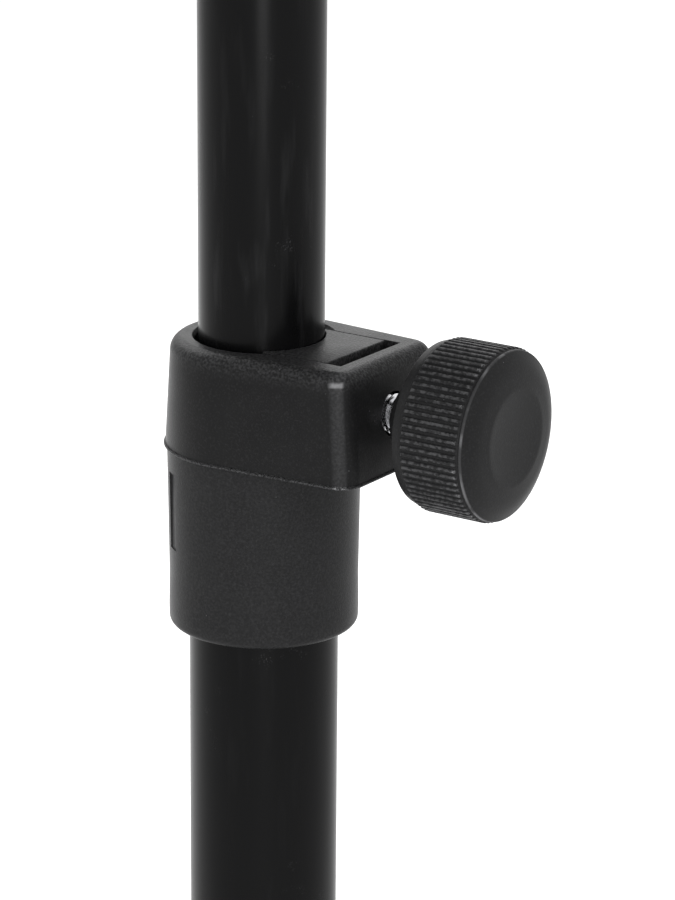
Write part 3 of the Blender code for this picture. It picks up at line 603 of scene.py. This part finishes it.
def head_outline(proud=0.0):
    """Half round behind the pole, two sides closing in, and an end wall with round corners."""
    start_y = (HEAD_R + proud) / math.cos(math.radians(HEAD_TAPER))
    slope = math.tan(math.radians(HEAD_TAPER))
    corner_x = HEAD_END + proud - HEAD_CORNER
    corner_y = start_y - corner_x * slope - HEAD_CORNER / math.cos(math.radians(HEAD_TAPER))
    near = arc((corner_x, -corner_y), HEAD_CORNER, -90 + HEAD_TAPER, 0, 12)
    far = arc((corner_x, corner_y), HEAD_CORNER, 0, 90 - HEAD_TAPER, 12)
    return near + far + arc((0, 0), HEAD_R + proud, 90 - HEAD_TAPER, 270 + HEAD_TAPER, 72)


def make_collar():
    """Collar: a drafted head on a tapered sleeve, with a thin raised line where the mould parts."""
    head = prism(head_outline(), 0, HEAD_HEIGHT)
    top = [v for v in head.verts if v.co.z > HEAD_HEIGHT / 2]
    bmesh.ops.scale(head, vec=(HEAD_SHRINK, HEAD_SHRINK, 1), verts=top)
    rim = [e for e in head.edges if all(v.co.z > HEAD_HEIGHT / 2 for v in e.verts)]
    foot = [e for e in head.edges if all(v.co.z < HEAD_HEIGHT / 2 for v in e.verts)]
    bevel(head, rim, HEAD_EDGE, 8)
    bevel(head, foot, 0.3 * MM, 3)
    flash = prism(head_outline(FLASH), -FLASH_HALF, FLASH_HALF, 0.2 * MM, 3)
    sleeve = lathe(rounded([
        (0, 1.0 * MM), (SLEEVE_TOP_R - 1.0 * MM, 1.0 * MM), (SLEEVE_TOP_R, -0.1 * MM),
        (SLEEVE_TOP_R - 0.15 * MM, -8 * MM, 60 * MM), (SLEEVE_R - 0.05 * MM, -27 * MM, 60 * MM),
        (SLEEVE_R + 0.05 * MM, -34 * MM, 8 * MM),
        (SLEEVE_R, -SLEEVE_LENGTH, SLEEVE_EDGE), (0, -SLEEVE_LENGTH)]), 144)
    socket = rod(SOCKET_R, -SLEEVE_LENGTH - 10 * MM, GAP, steps=96)
    lip = lathe(rounded([(0, HEAD_HEIGHT + 4 * MM), (GUIDE_R + 4 * MM, HEAD_HEIGHT + 4 * MM),
                         (GUIDE_R + 0.5 * MM, HEAD_HEIGHT, 0.5 * MM),
                         (GUIDE_R, HEAD_HEIGHT - 0.8 * MM, 0.5 * MM), (GUIDE_R, -10 * MM),
                         (0, -10 * MM)]), 96)
    pocket = slab((0, -POCKET_HALF, POCKET_FLOOR), (POCKET_END, POCKET_HALF, HEAD_HEIGHT + 9 * MM))
    seat = NUT_SIDE / 2 + GAP
    nut = slab((POCKET_END - 1 * MM, -seat, screw_height - seat),
               (POCKET_END + NUT_THICKNESS + 2 * GAP, seat, screw_height + seat))
    hole = placed(rod(SCREW_HOLE_R, 20 * MM, 45 * MM), CLAMP.inverted() @ SCREW)
    recess = placed(slab((SLEEVE_R - 0.3 * MM, -RECESS_HALF, RECESS_FOOT),
                         (SLEEVE_R + 2 * MM, RECESS_HALF, RECESS_TOP), 0.2 * MM, 2),
                    turn("Z", RECESS_ANGLE))
    collar = cut(joined(head, sleeve, flash), socket, lip, pocket, nut, hole, recess)
    piece("collar_moulding", "clamp_collar", placed(collar, CLAMP), COLLAR_PLASTIC)


def make_block():
    """Pressure block, hollowed to the tube."""
    upper_x = (UPPER.translation - POLE.translation).x
    side = POCKET_HALF - 0.12 * MM
    body = slab((0, -side, POCKET_FLOOR + GAP), (BLOCK_END, side, HEAD_HEIGHT), 0.3 * MM, 3)
    hollow = placed(rod(upper_r + GAP, -10 * MM, HEAD_HEIGHT + 10 * MM, steps=128),
                    Matrix.Translation((upper_x, 0, 0)))
    piece("pressure_block_moulding", "pressure_block", placed(cut(body, hollow), CLAMP),
          COLLAR_PLASTIC)


def make_screw_and_nut():
    """Threaded stud and its square nut."""
    stud = thread(STUD_R, STUD_PITCH, BLOCK_END + GAP, STUD_END)
    piece("clamp_stud", "clamp_screw", placed(stud, SCREW), BRIGHT_ZINC)
    half = NUT_SIDE / 2
    body = slab((-half, -half, POCKET_END + GAP),
                (half, half, POCKET_END + GAP + NUT_THICKNESS), 0.5 * MM, 3)
    piece("square_nut", "clamp_nut",
          placed(cut(body, rod(STUD_R + GAP, 20 * MM, 40 * MM)), SCREW), BRIGHT_ZINC)


KNOB_RIBS = 76
RIB_HEIGHT = 0.36 * MM
DISH_R = 9.3 * MM
DISH_FRONT = 58.3 * MM
DISH_DEPTH = 0.42 * MM
KNOB_BACK = 40.5 * MM
KNOB_WEB = 42.4 * MM
KNOB_HUB_BACK = 34.0 * MM


def make_knob():
    """Hand knob: fine ribs, a crowned face with a shallow finger dish, and a hub behind."""
    slope = 0.35 * MM
    bore_r = STUD_R + GAP
    steps = 10
    dish = [(DISH_R * i / steps, DISH_FRONT - DISH_DEPTH * (1 - (i / steps) ** 2))
            for i in range(steps)]
    face = [(DISH_R * 0.95, DISH_FRONT - DISH_DEPTH * 0.1),
            (DISH_R + 0.3 * MM, DISH_FRONT, 4 * MM), (13.6 * MM, 57.75 * MM, 10 * MM),
            (KNOB_RIM_R, KNOB_RIM_FRONT, 0.3 * MM),
            (KNOB_RIM_R, KNOB_RIM_FRONT - 0.5 * MM, 0.1 * MM),
            (KNOB_CORE_R - 0.15 * MM, KNOB_RIM_FRONT - 0.6 * MM, 0.1 * MM)]
    band = [(KNOB_CORE_R, KNOB_BAND_HIGH + slope), (KNOB_CORE_R, KNOB_BAND_HIGH),
            (KNOB_CORE_R, KNOB_BAND_LOW), (KNOB_CORE_R, KNOB_BAND_LOW - slope)]
    back = [(KNOB_CORE_R - 0.1 * MM, KNOB_BAND_LOW - 1 * MM, 0.5 * MM),
            (16.0 * MM, KNOB_BACK, 0.4 * MM), (15.0 * MM, KNOB_BACK, 0.4 * MM),
            (13.9 * MM, KNOB_WEB, 0.5 * MM), (8.2 * MM, KNOB_WEB, 1.0 * MM),
            (7.0 * MM, KNOB_HUB_BACK, 0.6 * MM), (bore_r, KNOB_HUB_BACK),
            (bore_r, STUD_END + 0.8 * MM), (0, STUD_END + 0.8 * MM)]
    shape = knurled(dish + rounded(face + band + back), KNOB_RIBS, KNOB_BAND_LOW,
                    KNOB_BAND_HIGH, RIB_HEIGHT)
    piece("clamp_hand_knob", "clamp_knob", placed(shape, SCREW), HAND_KNOB_PLASTIC, sharp=28)


# ---- tripod -------------------------------------------------------------------------------------
PIVOT_REACH = 36 * MM
PIVOT_HEIGHT = joints["leg_1_fold"]["pos_m"][2]
HUB_R = 22.5 * MM
HUB_MOUTH_R = 18.6 * MM
HUB_TAPER = 9 * MM
ARM_ROOT = 14 * MM
CHEEK_INNER = 6.5 * MM
CHEEK_OUTER = 11.5 * MM
CHEEK_REACH = 46 * MM
CHEEK_LOW = 72 * MM
CHEEK_HIGH = 106 * MM
KNUCKLE_R = 9 * MM
KNUCKLE_LENGTH = 25 * MM
LEG_TUBE_R = 10 * MM
LEG_WALL = 1.2 * MM
SPIGOT_END = 45 * MM
SPIGOT_COLLAR = 6 * MM
FOOT_REACH = 300 * MM
PAD_R = 15 * MM
LEG_LENGTH = (FOOT_REACH - PIVOT_REACH) / math.cos(math.radians(LEG_SLOPE))
LEG_TUBE_END = LEG_LENGTH + 6 * MM
FOOT_R = LEG_TUBE_R + 3 * MM
FOOT_FRONT = LEG_LENGTH + 11.5 * MM
FOOT_BACK = LEG_LENGTH - 31 * MM
FOOT_RINGS = 4
FOOT_RING_STEP = 5 * MM
HEX_FLATS = 10 * MM
HEX_HEAD = 4 * MM
HEX_NUT = 5 * MM
BOLT_PAST_NUT = 1.8 * MM
FINE_PITCH = 1.0 * MM
ACROSS_PIN = turn("X", 90)


def make_hub():
    """Moulded hub with a clevis for each leg."""
    hub_low, hub_high = (corner.z for corner in corners("base_hub"))
    socket_r = lower_r + GAP
    floor = pole_low.z - GAP
    hub = lathe(rounded([
        (0, floor), (socket_r, floor), (socket_r, hub_high), (HUB_MOUTH_R, hub_high, 0.8 * MM),
        (HUB_R, hub_high - HUB_TAPER, 4 * MM), (HUB_R, hub_low, 3.5 * MM), (0, hub_low)]), 96)
    arms, cuts = [], []
    for angle in LEG_ANGLES:
        spoke = turn("Z", angle)
        pivot = spoke @ Matrix.Translation((PIVOT_REACH, 0, PIVOT_HEIGHT))
        arms.append(placed(slab((ARM_ROOT, -CHEEK_OUTER, CHEEK_LOW),
                                (CHEEK_REACH, CHEEK_OUTER, CHEEK_HIGH), 1.5 * MM), spoke))
        below = slab((HUB_R + 0.5 * MM, -CHEEK_INNER, 30 * MM),
                     (CHEEK_REACH + 10 * MM, CHEEK_INNER, PIVOT_HEIGHT))
        roof = slab((-KNUCKLE_R - GAP, -CHEEK_INNER, -12 * MM),
                    (30 * MM, CHEEK_INNER, KNUCKLE_R + GAP))
        cuts += [placed(below, spoke), placed(roof, pivot @ turn("Y", LEG_SLOPE)),
                 pin_bore(pivot @ ACROSS_PIN)]
    hub = cut(joined(hub, *arms), *cuts)
    piece("tripod_hub", "base_hub", placed(hub, POLE), MOULDED_PLASTIC)


def make_knuckle(number, leg):
    """Moulded tongue in the clevis, with a spigot for the leg's tube."""
    tongue = (arc((0, 0), KNUCKLE_R, 90, 270, 24)
              + [(KNUCKLE_LENGTH, -KNUCKLE_R), (KNUCKLE_LENGTH, KNUCKLE_R)])
    half = CHEEK_INNER - GAP
    knuckle = placed(prism(tongue, -half, half, 0.7 * MM), ACROSS_PIN)
    spigot_r = LEG_TUBE_R - LEG_WALL - GAP
    shoulder = KNUCKLE_LENGTH - SPIGOT_COLLAR
    spigot = lathe(rounded([
        (0, SPIGOT_END), (spigot_r, SPIGOT_END, 1 * MM), (spigot_r, KNUCKLE_LENGTH),
        (LEG_TUBE_R, KNUCKLE_LENGTH, 0.2 * MM), (LEG_TUBE_R, shoulder, 1.5 * MM),
        (0, shoulder)]), 48)
    shape = cut(joined(knuckle, placed(spigot, turn("Y", 90))), pin_bore(ACROSS_PIN))
    piece(f"knuckle_{number}", f"leg_knuckle_{number}", placed(shape, leg), MOULDED_PLASTIC)


def make_foot(number, level, along):
    """Ringed rubber sleeve on the leg's end, with a round pad flat on the floor."""
    steps = [(FOOT_R, LEG_LENGTH - 6 * MM)]
    groove_r = FOOT_R - 0.8 * MM
    for ring in range(FOOT_RINGS):
        z = LEG_LENGTH - 9 * MM - FOOT_RING_STEP * ring
        steps += [(FOOT_R, z, 0.3 * MM), (groove_r, z - 0.6 * MM, 0.3 * MM),
                  (groove_r, z - 1.6 * MM, 0.3 * MM), (FOOT_R, z - 2.2 * MM, 0.3 * MM)]
    sleeve = lathe(rounded([(0, FOOT_FRONT), (FOOT_R, FOOT_FRONT, 4 * MM)] + steps
                           + [(FOOT_R, FOOT_BACK, 1.2 * MM), (0, FOOT_BACK)], 3), 64)
    middle = PIVOT_HEIGHT - LEG_LENGTH * math.sin(math.radians(LEG_SLOPE))
    pad = lathe(rounded([
        (0, middle), (PAD_R - 3 * MM, middle), (PAD_R, 6 * MM, 2 * MM),
        (PAD_R, 2.6 * MM, 0.5 * MM), (PAD_R - 0.8 * MM, 2.0 * MM, 0.3 * MM),
        (PAD_R, 1.4 * MM, 0.3 * MM), (PAD_R, 0, 1 * MM), (0, 0)], 4), 64)
    ground = level @ Matrix.Translation((FOOT_REACH - PIVOT_REACH, 0, -PIVOT_HEIGHT))
    hollow = placed(rod(LEG_TUBE_R + GAP, 100 * MM, LEG_TUBE_END + GAP), along)
    shape = cut(joined(placed(sleeve, along), placed(pad, ground)), hollow)
    piece(f"rubber_foot_{number}", f"foot_{number}", shape, FOOT_RUBBER)


def hexagon(across_flats):
    """A hexagon's outline."""
    return arc((0, 0), across_flats / math.sqrt(3), 0, 300, 5)


def make_leg_fastener(number, across):
    """Hex bolt through the clevis, its head on one side and its nut on the other."""
    outside = CHEEK_OUTER + GAP
    head = placed(prism(hexagon(HEX_FLATS), -outside - HEX_HEAD, -outside, 0.5 * MM, 2),
                  turn("X", 180))
    shank = thread(PIN_R, FINE_PITCH, -outside - HEX_NUT - BOLT_PAST_NUT, outside + 1 * MM, 24)
    piece(f"leg_{number}_bolt", f"leg_bolt_{number}", placed(joined(shank, head), across),
          DARK_ZINC)
    nut = prism(hexagon(HEX_FLATS), -outside - HEX_NUT, -outside, 0.5 * MM, 2)
    nut = cut(nut, pin_bore(Matrix()))
    piece(f"leg_{number}_nut", f"leg_nut_{number}", placed(nut, across), DARK_ZINC)


def make_leg(number, angle):
    """One leg with its knuckle, foot and fastener."""
    level = POLE @ turn("Z", angle) @ Matrix.Translation((PIVOT_REACH, 0, PIVOT_HEIGHT))
    leg = level @ turn("Y", LEG_SLOPE)
    along = leg @ turn("Y", 90)
    make_knuckle(number, leg)
    shape = tube(LEG_TUBE_R, LEG_WALL, KNUCKLE_LENGTH + GAP, LEG_TUBE_END, steps=64)
    piece(f"leg_{number}_tube", f"leg_tube_{number}", placed(shape, along), TUBE_PAINT)
    make_foot(number, level, along)
    make_leg_fastener(number, level @ ACROSS_PIN)


# ---- tilt head and desk -------------------------------------------------------------------------
PANEL_BACK = -32.1 * MM
SHEET = 1.2 * MM
DESK_WIDTH = 490 * MM
DESK_BOTTOM = -115 * MM
DESK_TOP = 225 * MM
DESK_CORNER = 22 * MM
FLANGE_DEPTH = 12 * MM
SHELF_DEPTH = 55 * MM
LIP_HEIGHT = 20 * MM
SHELF_FLANGE = 18 * MM
FOLD_R = 2.0 * MM
EAR_INNER = 7.3 * MM
EAR_OUTER = 9.8 * MM
EAR_R = 12 * MM
BRACKET_HALF = 30 * MM
BRACKET_WEB = 2.5 * MM
PLATE_BACK = PANEL_BACK + 2.3 * MM
PLATE_HALF_WIDTH = 70 * MM
PLATE_HALF_HEIGHT = 50 * MM
PLATE_CORNER = 6 * MM
CAP_R = 14.5 * MM
CAP_HEIGHT = 10 * MM
PLUG_LENGTH = 35 * MM
LUG_R = 13 * MM
LUG_HALF = 7 * MM
LUG_FOOT_HALF = 11 * MM
RIVET_HEAD_R = 3.2 * MM
RIVET_HEAD_HEIGHT = 1.2 * MM
RIVET_R = 1.6 * MM
RIVET_TAIL_R = 2.7 * MM
ONTO_YZ = turn("Z", 90) @ turn("X", 90)  # an outline's X and Y become Y and Z


def make_tilt_head():
    """Plug in the tube's top, with its lug."""
    seat = upper_high.z + GAP
    spigot_r = upper_r - TUBE_WALL - GAP
    plug = lathe(rounded([
        (0, seat + CAP_HEIGHT), (CAP_R, seat + CAP_HEIGHT, 3 * MM), (CAP_R, seat, 0.8 * MM),
        (spigot_r, seat), (spigot_r, seat - PLUG_LENGTH, 1 * MM), (0, seat - PLUG_LENGTH)]), 96)
    tilt = joints["desk_tilt"]["pos_m"][2]
    pivot = Matrix.Translation((0, 0, tilt))
    base = seat + CAP_HEIGHT - 2 * MM - tilt
    outline = arc((0, 0), LUG_R, 0, 180, 32) + [(-LUG_FOOT_HALF, base), (LUG_FOOT_HALF, base)]
    lug = placed(prism(outline, -LUG_HALF, LUG_HALF, 0.8 * MM), pivot @ ONTO_YZ)
    shape = cut(joined(plug, lug), pin_bore(pivot @ turn("Y", 90)))
    piece("tilt_head_moulding", "tilt_head", placed(shape, UPPER), MOULDED_PLASTIC)


def make_bracket():
    """Folded bracket and its backing plate."""
    front = PLATE_BACK + GAP
    side = EAR_OUTER - 0.6 * MM
    web = slab((-side, front, -BRACKET_HALF), (side, front + BRACKET_WEB, BRACKET_HALF),
               0.4 * MM, 3)
    root, end = front + 0.4 * MM, BRACKET_HALF - 0.4 * MM
    outline = arc((0, 0), EAR_R, -80, 80, 20) + [(root, end), (root, -end)]
    ears = [placed(prism(outline, low, low + EAR_OUTER - EAR_INNER, 0.4 * MM), ONTO_YZ)
            for low in (-EAR_OUTER, EAR_INNER)]
    shape = cut(joined(web, *ears), pin_bore(turn("Y", 90)))
    piece("tilt_bracket", "desk_bracket", placed(shape, DESK), TUBE_PAINT)
    plate = slab((-PLATE_HALF_WIDTH, PANEL_BACK + GAP, -PLATE_HALF_HEIGHT),
                 (PLATE_HALF_WIDTH, PLATE_BACK, PLATE_HALF_HEIGHT))
    upright = [e for e in plate.edges if abs(e.verts[0].co.y - e.verts[1].co.y) > 1 * MM]
    bevel(plate, upright, PLATE_CORNER, 6)
    bevel(plate, [e for e in plate.edges if len(e.link_faces) == 2
                  and e.calc_face_angle() > math.radians(60)], 0.4 * MM, 2)
    piece("desk_backing_plate", "backing_plate", placed(plate, DESK), TUBE_PAINT)


def sheet_metal(name, node, work, finish):
    """Thickens a folded surface to the sheet's gauge, inwards of its outer face."""
    made = piece(name, node, work, finish)
    wall = made.modifiers.new("gauge", "SOLIDIFY")
    wall.thickness = SHEET
    wall.offset = -1
    wall.use_even_offset = True
    edge = made.modifiers.new("edge", "BEVEL")
    edge.width = 0.3 * MM
    edge.segments = 2
    edge.limit_method = "ANGLE"
    edge.angle_limit = math.radians(50)


def make_panel():
    """Sheet steel panel, top and sides folded back over a small radius."""
    half, inner, top = DESK_WIDTH / 2, DESK_WIDTH / 2 - DESK_CORNER, DESK_TOP - DESK_CORNER
    outline = ([(half, DESK_BOTTOM)] + arc((inner, top), DESK_CORNER, 0, 90, 16)
               + arc((-inner, top), DESK_CORNER, 90, 180, 16) + [(-half, DESK_BOTTOM)])
    work = bmesh.new()
    front = PANEL_BACK - SHEET
    work.faces.new([work.verts.new((x, front, z)) for x, z in outline])
    folded = [e for e in work.edges if any(v.co.z > DESK_BOTTOM + 1 * MM for v in e.verts)]
    pushed = bmesh.ops.extrude_edge_only(work, edges=folded)["geom"]
    moved = [part for part in pushed if isinstance(part, bmesh.types.BMVert)]
    bmesh.ops.translate(work, vec=(0, FLANGE_DEPTH, 0), verts=moved)
    bevel(work, folded, FOLD_R, 6)
    bmesh.ops.recalc_face_normals(work, faces=work.faces)
    widest = max(work.faces, key=lambda face: face.calc_area())
    if widest.normal.y > 0:
        bmesh.ops.reverse_faces(work, faces=work.faces)
    sheet_metal("desk_sheet", "desk_panel", placed(work, DESK), SHEET_PAINT)


def make_shelf():
    """Folded shelf with its lip."""
    back = PANEL_BACK - SHEET - GAP
    front = back - SHELF_DEPTH
    section = rounded([(back, DESK_BOTTOM + SHELF_FLANGE), (back, DESK_BOTTOM, FOLD_R + SHEET),
                       (front, DESK_BOTTOM, FOLD_R + SHEET), (front, DESK_BOTTOM + LIP_HEIGHT)])
    work = bmesh.new()
    points = [work.verts.new((-DESK_WIDTH / 2, y, z)) for y, z in section]
    edges = [work.edges.new(pair) for pair in zip(points, points[1:])]
    pushed = bmesh.ops.extrude_edge_only(work, edges=edges)["geom"]
    moved = [part for part in pushed if isinstance(part, bmesh.types.BMVert)]
    bmesh.ops.translate(work, vec=(DESK_WIDTH, 0, 0), verts=moved)
    bmesh.ops.recalc_face_normals(work, faces=work.faces)
    floor = max(work.faces, key=lambda face: face.calc_area())
    if floor.normal.z > 0:
        bmesh.ops.reverse_faces(work, faces=work.faces)
    sheet_metal("shelf_sheet", "music_shelf", placed(work, DESK), SHEET_PAINT)


def make_rivets():
    """Domed rivets, each on the axis of its CAD node."""
    for node in [name for name in body_of_node if "_rivet_" in name]:
        low, high = corners(node)
        middle = DESK.inverted() @ ((low + high) / 2)
        on_plate = node.startswith("plate")
        behind = PLATE_BACK + GAP if on_plate else PANEL_BACK + GAP
        front = PANEL_BACK - SHEET - GAP - (0 if on_plate else SHEET + GAP)
        dome = [(RIVET_HEAD_R * math.sin(a), RIVET_HEAD_HEIGHT * math.cos(a) - front)
                for a in (math.radians(15 * i) for i in range(7))]
        shank = [(RIVET_R, -front), (RIVET_R, -behind)]
        tail = [(RIVET_TAIL_R, -behind), (RIVET_TAIL_R - 0.3 * MM, -behind - 0.9 * MM),
                (0, -behind - 1.0 * MM)]
        place = DESK @ Matrix.Translation((middle.x, 0, middle.z)) @ turn("X", 90)
        piece(node.replace("_rivet_", "_pop_rivet_"), node,
              placed(lathe(dome + shank + tail, 32), place), TUBE_PAINT)


TILT_BOLT_END = 29 * MM
TILT_WASHER_R = 8.5 * MM
TILT_WASHER_THICKNESS = 1.6 * MM
TILT_KNOB_BACK = EAR_OUTER + 2 * GAP + TILT_WASHER_THICKNESS
TILT_KNOB_LENGTH = 20 * MM
TILT_KNOB_CORE_R = 14.0 * MM
TILT_KNOB_RIBS = 60
TILT_RIB_HEIGHT = 0.5 * MM


def make_tilt_fastener():
    """Coach bolt and washer on the tilt axis."""
    outside = EAR_OUTER + GAP
    head = lathe(rounded([(0, -outside), (6.5 * MM, -outside, 0.3 * MM),
                          (6.0 * MM, -outside - 1.8 * MM, 1.5 * MM),
                          (3.0 * MM, -outside - 3.2 * MM, 4 * MM), (0, -outside - 3.4 * MM)]), 48)
    shank = thread(PIN_R, FINE_PITCH, -outside - 1 * MM, TILT_BOLT_END, 24)
    piece("tilt_coach_bolt", "tilt_bolt", placed(joined(head, shank), TILT_AXIS), DARK_ZINC)
    wall = TILT_WASHER_R - PIN_R - GAP
    washer = tube(TILT_WASHER_R, wall, outside, outside + TILT_WASHER_THICKNESS, 0.2 * MM, 64)
    piece("tilt_plain_washer", "tilt_washer", placed(washer, TILT_AXIS), BRIGHT_ZINC)


def make_tilt_knob():
    """Hand knob on the tilt axis, ribbed like the clamp's."""
    back = TILT_KNOB_BACK
    front = back + TILT_KNOB_LENGTH
    core, bore_r, bore_end = TILT_KNOB_CORE_R, PIN_R + GAP, TILT_BOLT_END + GAP
    low, high = back + 7.6 * MM, front - 4.6 * MM
    slope = 0.4 * MM
    face = [(0, front - 1.2 * MM), (6.0 * MM, front - 0.9 * MM, 6 * MM),
            (8.5 * MM, front, 1 * MM), (12 * MM, front - 1.0 * MM, 4 * MM),
            (core + 0.3 * MM, front - 3.0 * MM, 0.6 * MM),
            (core + 0.3 * MM, front - 3.9 * MM, 0.2 * MM)]
    band = [(core, high + slope), (core, high), (core, low), (core, low - slope)]
    rear = [(13.6 * MM, back + 6 * MM, 0.6 * MM), (12.4 * MM, back + 6 * MM),
            (7.6 * MM, back + 6.5 * MM, 1 * MM), (7.0 * MM, back, 0.5 * MM),
            (bore_r, back), (bore_r, bore_end), (0, bore_end)]
    shape = knurled(rounded(face + band + rear), TILT_KNOB_RIBS, low, high, TILT_RIB_HEIGHT)
    piece("tilt_hand_knob", "tilt_knob", placed(shape, TILT_AXIS), KNOB_PLASTIC, sharp=28)


# ---- studio -------------------------------------------------------------------------------------
VIEW_ANGLE = 34.0
VIEW_RISE = 17.32
VIEW_ROLL = -0.48
VIEW_DISTANCE = 0.6908
VIEW_LENS = 138.98
CLAMP_LEFT_OF_AIM = 14.56 * MM
CLAMP_ABOVE_AIM = 1.82 * MM


def make_camera():
    """A long lens on the height clamp, a little above it and to its front right."""
    around, rise, roll = (math.radians(a) for a in (VIEW_ANGLE, VIEW_RISE, VIEW_ROLL))
    right = Vector((math.cos(around), math.sin(around), 0))
    back = Vector((math.sin(around) * math.cos(rise), -math.cos(around) * math.cos(rise),
                   math.sin(rise)))
    up = back.cross(right)
    side = right * math.cos(roll) - up * math.sin(roll)
    above = right * math.sin(roll) + up * math.cos(roll)
    spot = (CLAMP.translation + back * VIEW_DISTANCE + side * CLAMP_LEFT_OF_AIM
            - above * CLAMP_ABOVE_AIM)
    lens = bpy.data.cameras.new("camera")
    lens.lens = VIEW_LENS
    lens.sensor_width = 36
    camera = bpy.data.objects.new("camera", lens)
    camera.matrix_world = Matrix.Translation(spot) @ Matrix((side, above, back)).transposed().to_4x4()
    bpy.context.scene.collection.objects.link(camera)
    bpy.context.scene.camera = camera


def area_light(name, spot, target, size, power, spread=180):
    """A square soft box that faces a target."""
    lamp = bpy.data.lights.new(name, "AREA")
    lamp.shape = "SQUARE"
    lamp.size = size
    lamp.energy = power
    lamp.spread = math.radians(spread)
    made = bpy.data.objects.new(name, lamp)
    aim = Vector(target) - Vector(spot)
    made.matrix_world = Matrix.Translation(spot) @ aim.to_track_quat("-Z", "Y").to_matrix().to_4x4()
    bpy.context.scene.collection.objects.link(made)


def make_studio():
    """White surroundings and floor, with soft boxes to the left, in front and behind."""
    world = bpy.data.worlds.new("studio")
    world.use_nodes = True
    background = world.node_tree.nodes["Background"]
    background.inputs["Color"].default_value = (1, 1, 1, 1)
    background.inputs["Strength"].default_value = 1.05
    bpy.context.scene.world = world
    floor = bmesh.new()
    bmesh.ops.create_grid(floor, x_segments=1, y_segments=1, size=30)
    mesh = bpy.data.meshes.new("studio_floor")
    floor.to_mesh(mesh)
    floor.free()
    white = Finish("white_floor", (0.95, 0.95, 0.95), 0.9, specular=0.0)
    mesh.materials.append(white.material)
    made = bpy.data.objects.new("studio_floor", mesh)
    bpy.context.scene.collection.objects.link(made)
    clamp = CLAMP.translation
    area_light("left_box", (-2.6, 0.9, 2.6), (-1.6, 0.5, 0.0), size=1.6, power=25, spread=120)
    area_light("front_box", (0.95, -1.35, 0.80), clamp, size=0.45, power=7)
    area_light("back_box", (-1.68, 2.40, 1.70), clamp, size=1.4, power=8.5)
    bpy.context.scene.view_settings.view_transform = "Standard"


make_camera()
make_studio()
make_pole()
make_collar()
make_block()
make_screw_and_nut()
make_knob()
make_hub()
for leg_number, leg_angle in enumerate(LEG_ANGLES, start=1):
    make_leg(leg_number, leg_angle)
make_tilt_head()
make_bracket()
make_panel()
make_shelf()
make_rivets()
make_tilt_fastener()
make_tilt_knob()
